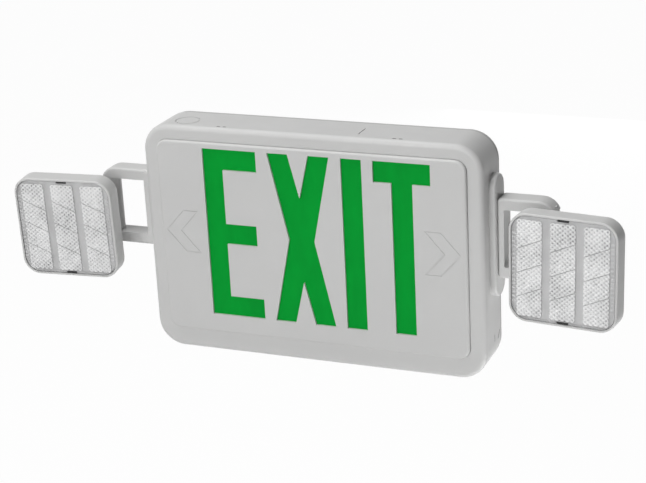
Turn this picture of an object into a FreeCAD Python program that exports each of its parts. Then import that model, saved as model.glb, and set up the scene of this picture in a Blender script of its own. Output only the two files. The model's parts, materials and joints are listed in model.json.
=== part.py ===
"""Wall-mounted emergency exit light: a lit legend box with two swivelling lamp heads.

Frame: millimetres, +Z up, the legend faces -Y, the wall is the plane Y = 0.
The origin is the centre of the housing's back, on the wall.
A "depth" below is the distance from the wall towards -Y.
"""
import FreeCAD, Part
import os
import Sketcher
from FreeCAD import Placement, Rotation, Vector

DOC = FreeCAD.newDocument("emergency_exit_light")

# ---------------------------------------------------------------------------
# Driving dimensions
# ---------------------------------------------------------------------------
SIZES = (
    # housing
    ("housing_width", 317.0, "outside width of the housing"),
    ("housing_height", 213.0, "outside height of the housing"),
    ("housing_depth", 49.5, "wall to bezel face"),
    ("housing_corner", 25.0, "corner radius seen from the front"),
    ("housing_wall", 2.5, "wall thickness of the housing"),
    ("housing_edge", 5.0, "rounding of the front edge"),
    # back plate
    ("back_rim", 6.5, "depth of the back plate's rim beside the wall"),
    ("back_step", 0.7, "rim set in from the housing's sides"),
    ("back_floor", 2.5, "thickness of the back plate"),
    ("back_edge", 1.5, "rounding of the rim's wall edge"),
    ("tongue_depth", 5.0, "tongue that enters the housing"),
    ("tongue_wall", 2.0, "thickness of the tongue"),
    ("seam_gap", 0.3, "open seam between housing and back plate"),
    ("slip_gap", 0.3, "side clearance of snap-in pieces"),
    ("wire_hole", 25.4, "central wire entry diameter"),
    ("box_spacing", 88.9, "junction box screw spacing, across"),
    ("gang_spacing", 83.3, "switch box screw spacing, up and down"),
    ("box_screw_hole", 4.8, "clearance hole for box screws"),
    ("keyhole_spacing", 220.0, "distance between the two keyholes"),
    ("keyhole_rise", 68.0, "keyholes above the centre"),
    ("keyhole_head", 9.5, "round part of a keyhole"),
    ("keyhole_slot", 4.8, "narrow part of a keyhole"),
    ("keyhole_travel", 9.0, "slot length above the round part"),
    # face plate and legend
    ("face_side", 14.1, "bezel left and right of the raised face plate"),
    ("face_above", 13.15, "bezel above the face plate"),
    ("face_below", 19.85, "bezel below the face plate"),
    ("face_corner", 10.0, "face plate corner radius"),
    ("face_raise", 3.0, "face plate in front of the bezel"),
    ("face_wall", 2.05, "face plate thickness"),
    ("face_skirt_wall", 1.8, "thickness of the face plate's skirt"),
    ("face_skirt", 10.2, "depth of the skirt from the front"),
    ("face_edge", 2.0, "rounding of the face plate's front edge"),
    ("collar_wall", 1.8, "collar around the face plate's opening"),
    ("shelf_reach", 4.0, "shelf that stops the skirt"),
    ("shelf_thick", 1.6, "thickness of that shelf"),
    ("diffuser_thick", 1.5, "coloured legend sheet"),
    # sign lighting
    ("box_margin", 5.0, "light box set in from the diffuser's edge"),
    ("light_box_depth", 16.0, "depth of the light box"),
    ("light_box_wall", 1.5, "wall of the light box"),
    ("strip_margin", 17.8, "lamp strip ends from the light box's walls"),
    ("strip_width", 9.0, "lamp strip width"),
    ("board_thick", 1.6, "printed board thickness"),
    ("chip_size", 5.0, "sign lamp chip, square"),
    ("chip_thick", 1.6, "sign lamp chip height"),
    ("chip_pitch", 36.0, "sign lamp chip spacing"),
    ("chip_count", 6, "sign lamp chips on a strip"),
    # electrical parts on the back plate
    ("charger_width", 96.0, "charger board width"),
    ("charger_height", 74.0, "charger board height"),
    ("charger_post", 6.0, "charger board above the floor"),
    ("charger_post_width", 7.0, "board post diameter"),
    ("charger_side", 66.5, "charger board centre from the housing's left side"),
    ("charger_z", -38.0, "charger board centre"),
    ("transformer_width", 46.0, "transformer core width"),
    ("transformer_height", 38.0, "transformer core height"),
    ("transformer_core", 14.0, "core stack"),
    ("transformer_coil", 24.0, "coil depth"),
    ("transformer_x", -60.0, "transformer centre"),
    ("transformer_z", 52.0, "transformer centre"),
    ("cell_radius", 11.25, "battery cell radius"),
    ("cell_length", 43.0, "battery cell length"),
    ("cell_count", 4, "battery cells in the pack"),
    ("battery_side", 74.5, "battery pack centre from the housing's right side"),
    ("battery_z", -48.0, "battery pack centre"),
    ("strap_width", 12.0, "battery strap width"),
    ("strap_thick", 1.2, "battery strap thickness"),
    ("strap_foot", 9.0, "battery strap foot length"),
    ("terminal_width", 36.0, "terminal block width"),
    ("terminal_height", 16.0, "terminal block height"),
    ("terminal_depth", 14.0, "terminal block depth"),
    ("terminal_pole", 4.2, "terminal wire hole"),
    ("terminal_x", 62.0, "terminal block centre"),
    ("capacitor_radius", 8.0, "reservoir capacitor"),
    ("capacitor_height", 12.0, "reservoir capacitor"),
    ("relay_width", 20.0, "changeover relay"),
    ("relay_depth", 11.0, "changeover relay"),
    ("relay_height", 16.0, "changeover relay"),
    ("sink_width", 6.0, "heat sink"),
    ("sink_depth", 12.0, "heat sink"),
    ("sink_height", 24.0, "heat sink"),
    ("plug_width", 22.0, "battery plug"),
    ("plug_depth", 8.0, "battery plug"),
    ("plug_height", 7.0, "battery plug"),
    ("charger_margin", 6.0, "board posts and parts from the board's edges"),
    ("terminal_z", 40.0, "terminal block centre"),
    # test button and status lamp, in the housing's bottom wall
    ("button_side", 62.5, "test button centre from the housing's right side"),
    ("button_depth", 28.0, "test button and lamp from the wall"),
    ("button_radius", 4.0, "test button"),
    ("button_reach", 2.6, "button below the housing"),
    ("button_flange", 5.6, "flange radius behind the wall"),
    ("button_flange_thick", 1.4, "flange thickness"),
    ("button_travel", 1.5, "press travel"),
    ("button_stem", 1.6, "stem radius inside the spring"),
    ("button_stem_length", 3.5, "stem above the flange"),
    ("spring_wire", 0.5, "return spring wire diameter"),
    ("spring_radius", 3.0, "return spring mean radius"),
    ("spring_turns", 4, "return spring turns"),
    ("spring_length", 6.5, "return spring length at rest"),
    ("switch_size", 13.0, "test switch body, square"),
    ("switch_height", 9.0, "test switch body height"),
    ("status_side", 78.5, "status lamp centre from the housing's right side"),
    ("status_radius", 2.5, "status lamp"),
    ("status_reach", 1.2, "status lamp below the housing"),
    ("status_body", 6.0, "status lamp body inside the wall"),
    ("status_flange", 3.3, "status lamp flange radius"),
    ("fit_gap", 0.08, "running clearance, radial"),
    # marks moulded in the housing
    ("groove_width", 0.9, "knockout groove width"),
    ("groove_depth", 0.9, "knockout groove depth"),
    ("knockout_size", 22.2, "conduit knockout in the top"),
    ("knockout_x", -120.7, "conduit knockout centre"),
    ("knockout_depth", 32.0, "conduit knockout from the wall"),
    ("latch_x", 82.0, "latch slots left and right of the centre"),
    ("latch_length", 9.4, "latch slot length"),
    ("latch_width", 1.8, "latch slot width"),
    ("latch_bridge", 2.4, "bridge in the middle of a latch slot"),
    ("latch_depth", 44.0, "latch slots from the wall"),
    ("pry_length", 11.5, "pry notch length at the seam"),
    ("pry_width", 1.2, "pry notch width"),
    ("top_line_x", 44.7, "short moulded line in the top"),
    ("top_line_length", 18.0, "length of that line"),
    ("top_line_depth", 29.7, "centre of that line from the wall"),
    ("side_line_length", 7.1, "upright moulded line low in the side walls"),
    ("side_line_depth", 23.8, "that line from the wall"),
    ("side_line_drop", 75.85, "that line below the centre"),
    ("hook_length", 8.9, "slanted latch slot low in the side walls"),
    ("hook_width", 1.1, "slanted latch slot width"),
    ("hook_depth", 11.25, "slanted latch slot from the wall"),
    ("hook_drop", 76.5, "slanted latch slot below the centre"),
    # side arms
    ("arm_base_length", 110.4, "oblong base on the housing's side"),
    ("arm_base_width", 27.2, "base width"),
    ("arm_base_corner", 13.5, "base end radius"),
    ("arm_base_thick", 6.1, "base thickness"),
    ("arm_base_edge", 2.0, "rounding of the base"),
    ("arm_rise", 19.9, "arm centre above the housing's centre"),
    ("arm_depth", 22.05, "arm centre from the wall"),
    ("arm_reach", 51.6, "loop from the base outwards"),
    ("arm_height", 72.3, "loop height"),
    ("arm_thick", 18.3, "loop thickness, front to back"),
    ("arm_corner", 16.0, "outer corner radius of the loop"),
    ("arm_root_corner", 4.0, "root corner radius of the loop"),
    ("arm_root_wall", 5.6, "root post of the loop"),
    ("arm_root_back", 2.6, "root post set in from the base's back edge"),
    ("arm_bar", 10.15, "bar height"),
    ("arm_edge", 2.2, "rounding of the loop's outer edges"),
    ("pan_reach", 43.8, "pan axis from the base"),
    ("journal_radius", 5.5, "round post that the clamp turns on"),
    ("arm_screw_radius", 1.75, "arm screw"),
    ("arm_screw_grip", 10.0, "arm screw in the bar"),
    ("arm_screw_head", 3.5, "arm screw head radius"),
    ("arm_screw_head_thick", 2.2, "arm screw head thickness"),
    # swivel
    ("clamp_radius", 8.0, "outside of the swivel clamp"),
    ("clamp_end_gap", 0.5, "gap above and below the clamp"),
    ("running_gap", 0.05, "radial clearance of the swivel joints"),
    ("flange_reach", 14.0, "clamp flange from the pan axis"),
    ("flange_thick", 4.2, "clamp flange thickness"),
    ("flange_height", 42.0, "clamp flange height"),
    ("clamp_screw_radius", 1.3, "clamp screw"),
    ("clamp_screw_x", 10.9, "clamp screws from the pan axis"),
    ("clamp_screw_spacing", 28.0, "distance between the clamp screws"),
    ("clamp_screw_head", 2.5, "clamp screw head radius"),
    ("clamp_screw_head_thick", 1.7, "clamp screw head thickness"),
    ("tilt_reach", 29.1, "tilt axis outwards from the pan axis"),
    ("tilt_forward", 19.65, "tilt axis in front of the pan axis"),
    ("tilt_drop", 9.9, "tilt axis below the arm's centre"),
    ("barrel_radius", 6.0, "tilt barrel"),
    ("barrel_length", 17.6, "tilt barrel length"),
    ("web_height", 10.6, "web between clamp and barrel"),
    ("web_front", 13.0, "front of the web from the pan axis"),
    ("web_back", 3.0, "back of the web from the pan axis"),
    ("ear_gap", 0.2, "side clearance of the ears"),
    ("ear_thick", 4.0, "ear thickness"),
    ("ear_radius", 5.8, "ear end radius"),
    ("tilt_pin_radius", 2.0, "tilt pin"),
    ("tilt_pin_head", 3.6, "tilt pin head radius"),
    ("tilt_pin_head_thick", 1.8, "tilt pin head thickness"),
    # lamp heads
    ("head_size", 95.0, "square lamp head"),
    ("head_corner", 16.0, "head corner radius"),
    ("head_depth", 19.5, "head depth"),
    ("head_back", 9.0, "back of the head in front of the tilt axis"),
    ("head_wall", 2.0, "head shell wall"),
    ("head_back_edge", 4.5, "rounding at the head's back"),
    ("head_front_edge", 1.2, "rounding at the head's front"),
    ("lens_gap", 0.2, "lens clearance in the shell"),
    ("lens_thick", 2.4, "lens plate"),
    ("lens_skirt", 6.0, "depth of the lens skirt"),
    ("lens_skirt_wall", 1.6, "lens skirt wall"),
    ("lens_pad_raise", 0.9, "optic columns in front of the lens plate"),
    ("lens_recess", 0.7, "lens plate behind the shell's front edge"),
    ("optic_width", 24.6, "optic column width"),
    ("optic_height", 83.0, "optic column height"),
    ("optic_corner", 4.0, "outer corner radius of the optic columns"),
    ("optic_pitch", 28.6, "optic column spacing"),
    ("optic_rows", 4, "optic rows in a column"),
    ("optic_columns", 3, "optic columns"),
    ("clip_width", 10.5, "clip notch width in the lens"),
    ("clip_height", 2.2, "clip notch height"),
    ("reflector_margin", 0.4, "reflector clearance in the shell"),
    ("reflector_depth", 7.2, "reflector depth"),
    ("reflector_wall", 1.4, "least wall between the reflector cups"),
    ("cup_throat", 5.4, "square throat of a reflector cup"),
    ("head_chip_size", 3.6, "head lamp chip, square"),
    ("head_chip_thick", 0.9, "head lamp chip height"),
    # rest pose, degrees
    ("left_pan", 5.5, "left head turned towards the middle"),
    ("left_tilt", 3.0, "left head tipped down"),
    ("right_pan", -6.5, "right head turned towards the middle"),
    ("right_tilt", -1.5, "right head tipped up"),
)

# Sizes that follow from the driving ones
FOLLOWS = {
    "face_width": "(housing_width - 2*face_side)",
    "face_height": "(housing_height - face_above - face_below)",
    "face_rise": "((face_below - face_above)/2)",
    "strip_length": "(face_width - 2*face_skirt_wall - 2*slip_gap - 2*box_margin - 2*strip_margin)",
    "charger_x": "(charger_side - housing_width/2)",
    "battery_x": "(housing_width/2 - battery_side)",
    "button_x": "(housing_width/2 - button_side)",
    "status_x": "(housing_width/2 - status_side)",
}

SHEET = DOC.addObject("Spreadsheet::Sheet", "Sizes")
ALIASES = set()
for row, (alias, size, note) in enumerate(SIZES, start=1):
    SHEET.set("A%d" % row, note)
    SHEET.set("B%d" % row, str(size))
    SHEET.setAlias("B%d" % row, alias)
    ALIASES.add(alias)
SHEET.recompute()
CALC = DOC.addObject("Spreadsheet::Sheet", "Calc")
WORKED = {}

NODES = []


# ---------------------------------------------------------------------------
# Helpers
# ---------------------------------------------------------------------------
def bind(text):
    """Write a formula of size names as an expression on the sheet."""
    word = ""
    out = ""
    for letter in str(text) + " ":
        if letter.isalnum() or letter == "_":
            word += letter
            continue
        if word in FOLLOWS:
            word = bind(FOLLOWS[word])
        elif word in ALIASES:
            word = "Sizes." + word
        out += word + letter
        word = ""
    return out.strip()


def number(text):
    """Work a formula of size names out, in a sheet of its own."""
    if str(text) not in WORKED:
        CALC.set("A1", "=" + bind(text))
        CALC.recompute()
        WORKED[str(text)] = float(CALC.get("A1"))
    return WORKED[str(text)]


def node(obj, label, placement=None):
    """Name a finished sub-part and put it in its place."""
    obj.Label = label
    if placement is not None:
        obj.Placement = placement
    NODES.append(obj)
    return obj


def new_body(name):
    return DOC.addObject("PartDesign::Body", name)


def attach(sketch, body, role, offset, x, y):
    """Fix a sketch to one of its own body's planes, moved along and across it."""
    plane = [f for f in body.Origin.OriginFeatures if f.Role == role][0]
    sketch.AttachmentSupport = [(plane, "")]
    sketch.MapMode = "FlatFace"
    for axis, text in (("x", x), ("y", y), ("z", offset)):
        if text != "0":
            sketch.setExpression("AttachmentOffset.Base." + axis, bind(text))


def constrain(sketch, name, text, *what):
    """Add a dimension to a sketch and bind it to the sheet."""
    index = sketch.addConstraint(Sketcher.Constraint(*what, number(text)))
    sketch.renameConstraint(index, name)
    sketch.setExpression("Constraints." + name, bind(text))


def rounded_loop(sketch, tag, width, height, radius, centred=True, outer_radius=None):
    """Draw a rounded rectangle, centred, or with its left side on the vertical axis."""
    second = outer_radius or radius
    w, h = number(width), number(height)
    left, right = (-w / 2, w / 2) if centred else (0.0, w)
    low, high = -h / 2, h / 2
    a, b = number(radius), number(second)
    corners = (
        (right - b, low + b, b, -90, 0),
        (right - b, high - b, b, 0, 90),
        (left + a, high - a, a, 90, 180),
        (left + a, low + a, a, 180, 270),
    )
    lines = (
        ((left + a, low), (right - b, low)),
        ((right, low + b), (right, high - b)),
        ((right - b, high), (left + a, high)),
        ((left, high - a), (left, low + a)),
    )
    first = sketch.GeometryCount
    for start, end in lines:
        sketch.addGeometry(Part.LineSegment(Vector(*start, 0), Vector(*end, 0)), False)
    for x, y, r, begin, stop in corners:
        circle = Part.Circle(Vector(x, y, 0), Vector(0, 0, 1), r)
        arc = Part.ArcOfCircle(circle, begin * 0.017453292519943295, stop * 0.017453292519943295)
        sketch.addGeometry(arc, False)
    for k in range(4):
        line, arc, following = first + k, first + 4 + k, first + (k + 1) % 4
        sketch.addConstraint(Sketcher.Constraint("Tangent", line, 2, arc, 1))
        sketch.addConstraint(Sketcher.Constraint("Tangent", arc, 2, following, 1))
    sketch.addConstraint(Sketcher.Constraint("Horizontal", first))
    sketch.addConstraint(Sketcher.Constraint("Vertical", first + 1))
    sketch.addConstraint(Sketcher.Constraint("Horizontal", first + 2))
    sketch.addConstraint(Sketcher.Constraint("Vertical", first + 3))
    sketch.addConstraint(Sketcher.Constraint("Equal", first + 4, first + 5))
    sketch.addConstraint(Sketcher.Constraint("Equal", first + 6, first + 7))
    constrain(sketch, tag + "_right_radius", second, "Radius", first + 4)
    constrain(sketch, tag + "_left_radius", radius, "Radius", first + 6)
    constrain(sketch, tag + "_width", width, "DistanceX", first + 3, 1, first + 1, 1)
    constrain(sketch, tag + "_height", height, "DistanceY", first, 1, first + 2, 1)
    if centred:
        sketch.addConstraint(Sketcher.Constraint("Symmetric", first + 4, 3, first + 6, 3, -1, 1))
    else:
        sketch.addConstraint(Sketcher.Constraint("PointOnObject", first + 3, 1, -2))
        constrain(sketch, tag + "_drop", "(%s)/2" % height, "DistanceY", first, 1, -1, 1)


def rounded_sketch(body, name, loops, role="XZ_Plane", offset="0", x="0", y="0", turn=0, **shape):
    """A sketch of one or more centred rounded rectangles: (width, height, radius)."""
    sketch = body.newObject("Sketcher::SketchObject", name)
    sketch.AttachmentOffset = Placement(Vector(), Rotation(Vector(0, 0, 1), turn))
    attach(sketch, body, role, offset, x, y)
    for k, (width, height, radius) in enumerate(loops):
        rounded_loop(sketch, "loop%d" % k, width, height, radius, **shape)
    return sketch


def circle_sketch(body, name, radii, role="XZ_Plane", offset="0", x="0", y="0"):
    """A sketch of one or more circles about one centre."""
    sketch = body.newObject("Sketcher::SketchObject", name)
    attach(sketch, body, role, offset, x, y)
    for k, radius in enumerate(radii):
        circle = Part.Circle(Vector(0, 0, 0), Vector(0, 0, 1), number(radius))
        index = sketch.addGeometry(circle, False)
        sketch.addConstraint(Sketcher.Constraint("Coincident", index, 3, -1, 1))
        constrain(sketch, "radius%d" % k, radius, "Radius", index)
    return sketch


def extrude(body, kind, name, sketch, length, reverse=False, middle=False):
    """Pad or pocket a sketch of the body by a length."""
    feature = body.newObject("PartDesign::" + kind, name)
    feature.Profile = sketch
    feature.setExpression("Length", bind(length))
    feature.Reversed = reverse
    feature.Midplane = middle
    DOC.recompute()
    return feature


def pad(body, name, sketch, length, **how):
    return extrude(body, "Pad", name, sketch, length, **how)


def pocket(body, name, sketch, length, **how):
    """Cut a sketch into the body, and make sure that it took something away."""
    before = body.Shape.Volume
    feature = extrude(body, "Pocket", name, sketch, length, **how)
    if body.Shape.Volume > before - 1e-6:
        raise RuntimeError(name + " cut nothing")
    return feature


def flat_edges(shape, axis, level, keep=None):
    """Names of the edges that lie in the plane where the axis has that value."""
    names = []
    for k, edge in enumerate(shape.Edges, start=1):
        bounds = edge.BoundBox
        low = getattr(bounds, axis + "Min")
        high = getattr(bounds, axis + "Max")
        if abs(low - level) < 0.01 and abs(high - level) < 0.01 and (keep is None or keep(bounds)):
            names.append("Edge%d" % k)
    return names


def round_edges(body, name, base, radius, names):
    feature = body.newObject("PartDesign::Fillet", name)
    feature.Base = (base, names)
    feature.setExpression("Radius", bind(radius))
    DOC.recompute()
    return feature


AXES = {
    "Z": Rotation(),
    "X": Rotation(Vector(0, 1, 0), 90),
    "Y": Rotation(Vector(1, 0, 0), -90),
}


def put(obj, at):
    """Bind an object's position to formulas of size names."""
    for axis, text in zip("xyz", at):
        if str(text) != "0":
            obj.setExpression("Placement.Base." + axis, bind(text))


def box(name, size, at):
    """A box from its low corner."""
    obj = DOC.addObject("Part::Box", name)
    for prop, text in zip(("Length", "Width", "Height"), size):
        obj.setExpression(prop, bind(text))
    put(obj, at)
    return obj


def cylinder(name, radius, height, at, axis="Z", angle=None, turn=0):
    """A cylinder, or part of one, from the centre of its first end."""
    obj = DOC.addObject("Part::Cylinder", name)
    obj.setExpression("Radius", bind(radius))
    obj.setExpression("Height", bind(height))
    if angle:
        obj.Angle = angle
    obj.Placement = Placement(Vector(), AXES[axis] * Rotation(Vector(0, 0, 1), turn))
    put(obj, at)
    return obj


def fuse(name, parts):
    obj = DOC.addObject("Part::MultiFuse", name)
    obj.Shapes = parts
    return obj


def cut(name, base, tools):
    obj = DOC.addObject("Part::Cut", name)
    obj.Base = base
    obj.Tool = tools[0] if len(tools) == 1 else fuse(name + "_tools", tools)
    return obj


def spread(count, pitch):
    """Positions of a centred row, as formulas."""
    return ["(%g)*%s" % (k - (count - 1) / 2, pitch) for k in range(count)]


# ---------------------------------------------------------------------------
# Back plate: a shallow tray screwed to the wall, with a tongue for the housing
# ---------------------------------------------------------------------------
plate = new_body("BackPlate")
rim = rounded_sketch(plate, "RimOutline", [(
    "housing_width - 2*back_step", "housing_height - 2*back_step", "housing_corner - back_step")])
rim_pad = pad(plate, "Rim", rim, "back_rim")
wall_edge = flat_edges(rim_pad.Shape, "Y", 0)
round_edges(plate, "RimEdge", rim_pad, "back_edge", wall_edge)
TONGUE = "2*(housing_wall + slip_gap)"
tongue = rounded_sketch(plate, "TongueOutline", [(
    "housing_width - " + TONGUE, "housing_height - " + TONGUE,
    "housing_corner - housing_wall - slip_gap")], offset="back_rim")
pad(plate, "Tongue", tongue, "tongue_depth")
TRAY = "2*(housing_wall + slip_gap + tongue_wall)"
tray = rounded_sketch(plate, "TrayOutline", [(
    "housing_width - " + TRAY, "housing_height - " + TRAY,
    "housing_corner - housing_wall - slip_gap - tongue_wall")], offset="back_rim + tongue_depth")
pocket(plate, "Tray", tray, "back_rim + tongue_depth - back_floor")
entry = circle_sketch(plate, "WireEntry", ["wire_hole/2"], offset="back_floor")
pocket(plate, "WireHole", entry, "back_floor + 1")
for label, x, y in (
    ("BoxLeft", "-box_spacing/2", "0"), ("BoxRight", "box_spacing/2", "0"),
    ("GangLow", "0", "-gang_spacing/2"), ("GangHigh", "0", "gang_spacing/2"),
):
    hole = circle_sketch(plate, label + "Sketch", ["box_screw_hole/2"], offset="back_floor", x=x, y=y)
    pocket(plate, label + "Hole", hole, "back_floor + 1")
for label, x in (("KeyLeft", "-keyhole_spacing/2"), ("KeyRight", "keyhole_spacing/2")):
    head = circle_sketch(
        plate, label + "HeadSketch", ["keyhole_head/2"], offset="back_floor", x=x, y="keyhole_rise")
    pocket(plate, label + "Head", head, "back_floor + 1")
    slot = rounded_sketch(
        plate, label + "SlotSketch",
        [("keyhole_slot", "keyhole_travel + keyhole_slot", "keyhole_slot*0.49")],
        offset="back_floor", x=x, y="keyhole_rise + keyhole_travel/2")
    pocket(plate, label + "Slot", slot, "back_floor + 1")
for label, x in (("PryLeft", "-latch_x"), ("PryRight", "latch_x")):
    notch = rounded_sketch(
        plate, label + "Sketch", [("pry_length", "pry_width", "pry_width*0.4")],
        role="XY_Plane", offset="housing_height/2", x=x, y="-back_rim")
    pocket(plate, label, notch, "back_step + groove_depth")
node(plate, "back_plate")

# ---------------------------------------------------------------------------
# Housing: one moulding, open at the back, with a collar and shelf for the face
# ---------------------------------------------------------------------------
house = new_body("HousingFrame")
SEAM = "(back_rim + seam_gap)"
outline = rounded_sketch(
    house, "HousingOutline", [("housing_width", "housing_height", "housing_corner")], offset=SEAM)
shell = pad(house, "HousingBlock", outline, "housing_depth - " + SEAM)
front_edge = flat_edges(shell.Shape, "Y", -number("housing_depth"))
round_edges(house, "HousingEdge", shell, "housing_edge", front_edge)
cavity = rounded_sketch(house, "CavityOutline", [(
    "housing_width - 2*housing_wall", "housing_height - 2*housing_wall",
    "housing_corner - housing_wall")], offset=SEAM)
pocket(house, "Cavity", cavity, "housing_depth - housing_wall - " + SEAM, reverse=True)
OPENING = ("face_width + 2*slip_gap", "face_height + 2*slip_gap", "face_corner + slip_gap")
window = rounded_sketch(house, "WindowOutline", [OPENING], offset="housing_depth", y="face_rise")
pocket(house, "Window", window, "housing_wall + 1")
COLLAR = (
    "face_width + 2*slip_gap + 2*collar_wall", "face_height + 2*slip_gap + 2*collar_wall",
    "face_corner + slip_gap + collar_wall")
SHELF_LEVEL = "(housing_depth + face_raise - face_skirt)"
collar = rounded_sketch(
    house, "CollarOutline", [COLLAR, OPENING], offset=SHELF_LEVEL + " - shelf_thick", y="face_rise")
pad(house, "Collar", collar, "face_skirt - face_raise + shelf_thick - housing_wall")
shelf = rounded_sketch(
    house, "ShelfOutline",
    [COLLAR, ("face_width - 2*shelf_reach", "face_height - 2*shelf_reach", "face_corner - shelf_reach")],
    offset=SHELF_LEVEL + " - shelf_thick", y="face_rise")
pad(house, "Shelf", shelf, "shelf_thick")

# holes for the arm screws, in both side walls
for label, y in (("High", "arm_height/2 - arm_bar/2"), ("Low", "arm_bar/2 - arm_height/2")):
    hole = circle_sketch(
        house, "ArmHole%sSketch" % label, ["arm_screw_radius + fit_gap"], role="YZ_Plane",
        x="-arm_depth", y="arm_rise + " + y)
    pocket(house, "ArmHole" + label, hole, "housing_width + 2", middle=True)

# bottom wall: test button and status lamp
for label, x, radius in (
    ("Button", "button_x", "button_radius + fit_gap"),
    ("Status", "status_x", "status_radius + fit_gap"),
):
    hole = circle_sketch(
        house, label + "HoleSketch", [radius], role="XY_Plane",
        offset="-housing_height/2 + housing_wall + 1", x=x, y="-button_depth")
    pocket(house, label + "Hole", hole, "housing_wall + 2")

# top wall: conduit knockout ring, latch slots, moulded line
ring = circle_sketch(
    house, "KnockoutSketch", ["knockout_size/2", "knockout_size/2 - groove_width"],
    role="XY_Plane", offset="housing_height/2", x="knockout_x", y="-knockout_depth")
pocket(house, "Knockout", ring, "groove_depth")
for side, sign in (("Left", "-"), ("Right", "")):
    for half, shift in (("A", "-"), ("B", "+")):
        piece = "(latch_length/4 + latch_bridge/4)"
        slot = rounded_sketch(
            house, "Latch%s%sSketch" % (side, half),
            [("(latch_length - latch_bridge)/2", "latch_width", "latch_width*0.4")],
            role="XY_Plane", offset="housing_height/2",
            x="%slatch_x %s %s" % (sign, shift, piece), y="-latch_depth")
        pocket(house, "Latch%s%s" % (side, half), slot, "housing_wall*0.8")
line = rounded_sketch(
    house, "TopLineSketch", [("groove_width", "top_line_length", "groove_width*0.4")],
    role="XY_Plane", offset="housing_height/2", x="top_line_x", y="-top_line_depth")
pocket(house, "TopLine", line, "groove_depth")

# side walls: upright moulded line and slanted latch slot, low down
HOOK_SLANT = 38
for side, sign in (("Left", "-"), ("Right", "")):
    for label, shape, depth, drop, turn in (
        ("Line", ("groove_width", "side_line_length", "groove_width*0.4"),
         "side_line_depth", "side_line_drop", 0),
        ("Hook", ("hook_width", "hook_length", "hook_width*0.4"),
         "hook_depth", "hook_drop", -HOOK_SLANT),
    ):
        mark = rounded_sketch(
            house, "%s%sSketch" % (side, label), [shape], role="YZ_Plane",
            offset=sign + "housing_width/2", x="-" + depth, y="-" + drop, turn=turn)
        pocket(house, side + label, mark, "groove_depth", reverse=side == "Left")
node(house, "housing")

# ---------------------------------------------------------------------------
# Face plate: raised shallow tray that snaps into the collar
# ---------------------------------------------------------------------------
face = new_body("FacePlate")
FACE = ("face_width", "face_height", "face_corner")
FRONT = "(housing_depth + face_raise)"
face_outline = rounded_sketch(face, "FaceOutline", [FACE], offset=SHELF_LEVEL, y="face_rise")
face_block = pad(face, "FaceBlock", face_outline, "face_skirt")
round_edges(face, "FaceEdge", face_block, "face_edge",
            flat_edges(face_block.Shape, "Y", -number(FRONT)))
inside = rounded_sketch(face, "FaceInside", [(
    "face_width - 2*face_skirt_wall", "face_height - 2*face_skirt_wall",
    "face_corner - face_skirt_wall")], offset=SHELF_LEVEL, y="face_rise")
pocket(face, "FaceHollow", inside, "face_skirt - face_wall", reverse=True)
node(face, "face_plate")

# ---------------------------------------------------------------------------
# Legend diffuser, light box and lamp strips
# ---------------------------------------------------------------------------
LEGEND = "(face_skirt_wall + slip_gap)"
diffuser = new_body("LegendDiffuser")
sheet_outline = rounded_sketch(diffuser, "DiffuserOutline", [(
    "face_width - 2*" + LEGEND, "face_height - 2*" + LEGEND, "face_corner - " + LEGEND)],
    offset=FRONT + " - face_wall - diffuser_thick", y="face_rise")
pad(diffuser, "DiffuserSheet", sheet_outline, "diffuser_thick")
node(diffuser, "legend_diffuser")

lamp_box = new_body("LightBox")
BOX_FRONT = "(" + FRONT + " - face_wall - diffuser_thick)"
LIT = "(" + LEGEND + " + box_margin)"
LIT_WIDTH = "(face_width - 2*" + LIT + ")"
LIT_HEIGHT = "(face_height - 2*" + LIT + ")"
box_outline = rounded_sketch(
    lamp_box, "LightBoxOutline", [(LIT_WIDTH, LIT_HEIGHT, "face_corner*0.5")],
    offset=BOX_FRONT + " - light_box_depth", y="face_rise")
pad(lamp_box, "LightBoxBlock", box_outline, "light_box_depth")
box_inside = rounded_sketch(
    lamp_box, "LightBoxInside",
    [(LIT_WIDTH + " - 2*light_box_wall", LIT_HEIGHT + " - 2*light_box_wall", "face_corner*0.5 - light_box_wall")],
    offset=BOX_FRONT, y="face_rise")
pocket(lamp_box, "LightBoxHollow", box_inside, "light_box_depth - light_box_wall")
node(lamp_box, "light_box")

chips = []
for label, sign in (("upper", 1), ("lower", -1)):
    wall = "(%s/2 - light_box_wall)" % LIT_HEIGHT
    low = "face_rise + %s - board_thick" % wall if sign > 0 else "face_rise - %s" % wall
    strip = box(
        "Strip_" + label, ("strip_length", "strip_width", "board_thick"),
        ("-strip_length/2", "-%s + light_box_depth/2 - strip_width/2" % BOX_FRONT, low))
    node(strip, "lamp_strip_" + label)
    chip_low = (low + " - chip_thick") if sign > 0 else (low + " + board_thick")
    for k, x in enumerate(spread(int(number("chip_count")), "chip_pitch")):
        chips.append(box(
            "Chip_%s_%d" % (label, k), ("chip_size", "chip_size", "chip_thick"),
            (x + " - chip_size/2", "-%s + light_box_depth/2 - chip_size/2" % BOX_FRONT, chip_low)))
sign_chips = DOC.addObject("Part::Compound", "SignChips")
sign_chips.Links = chips
node(sign_chips, "sign_lamps")

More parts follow.
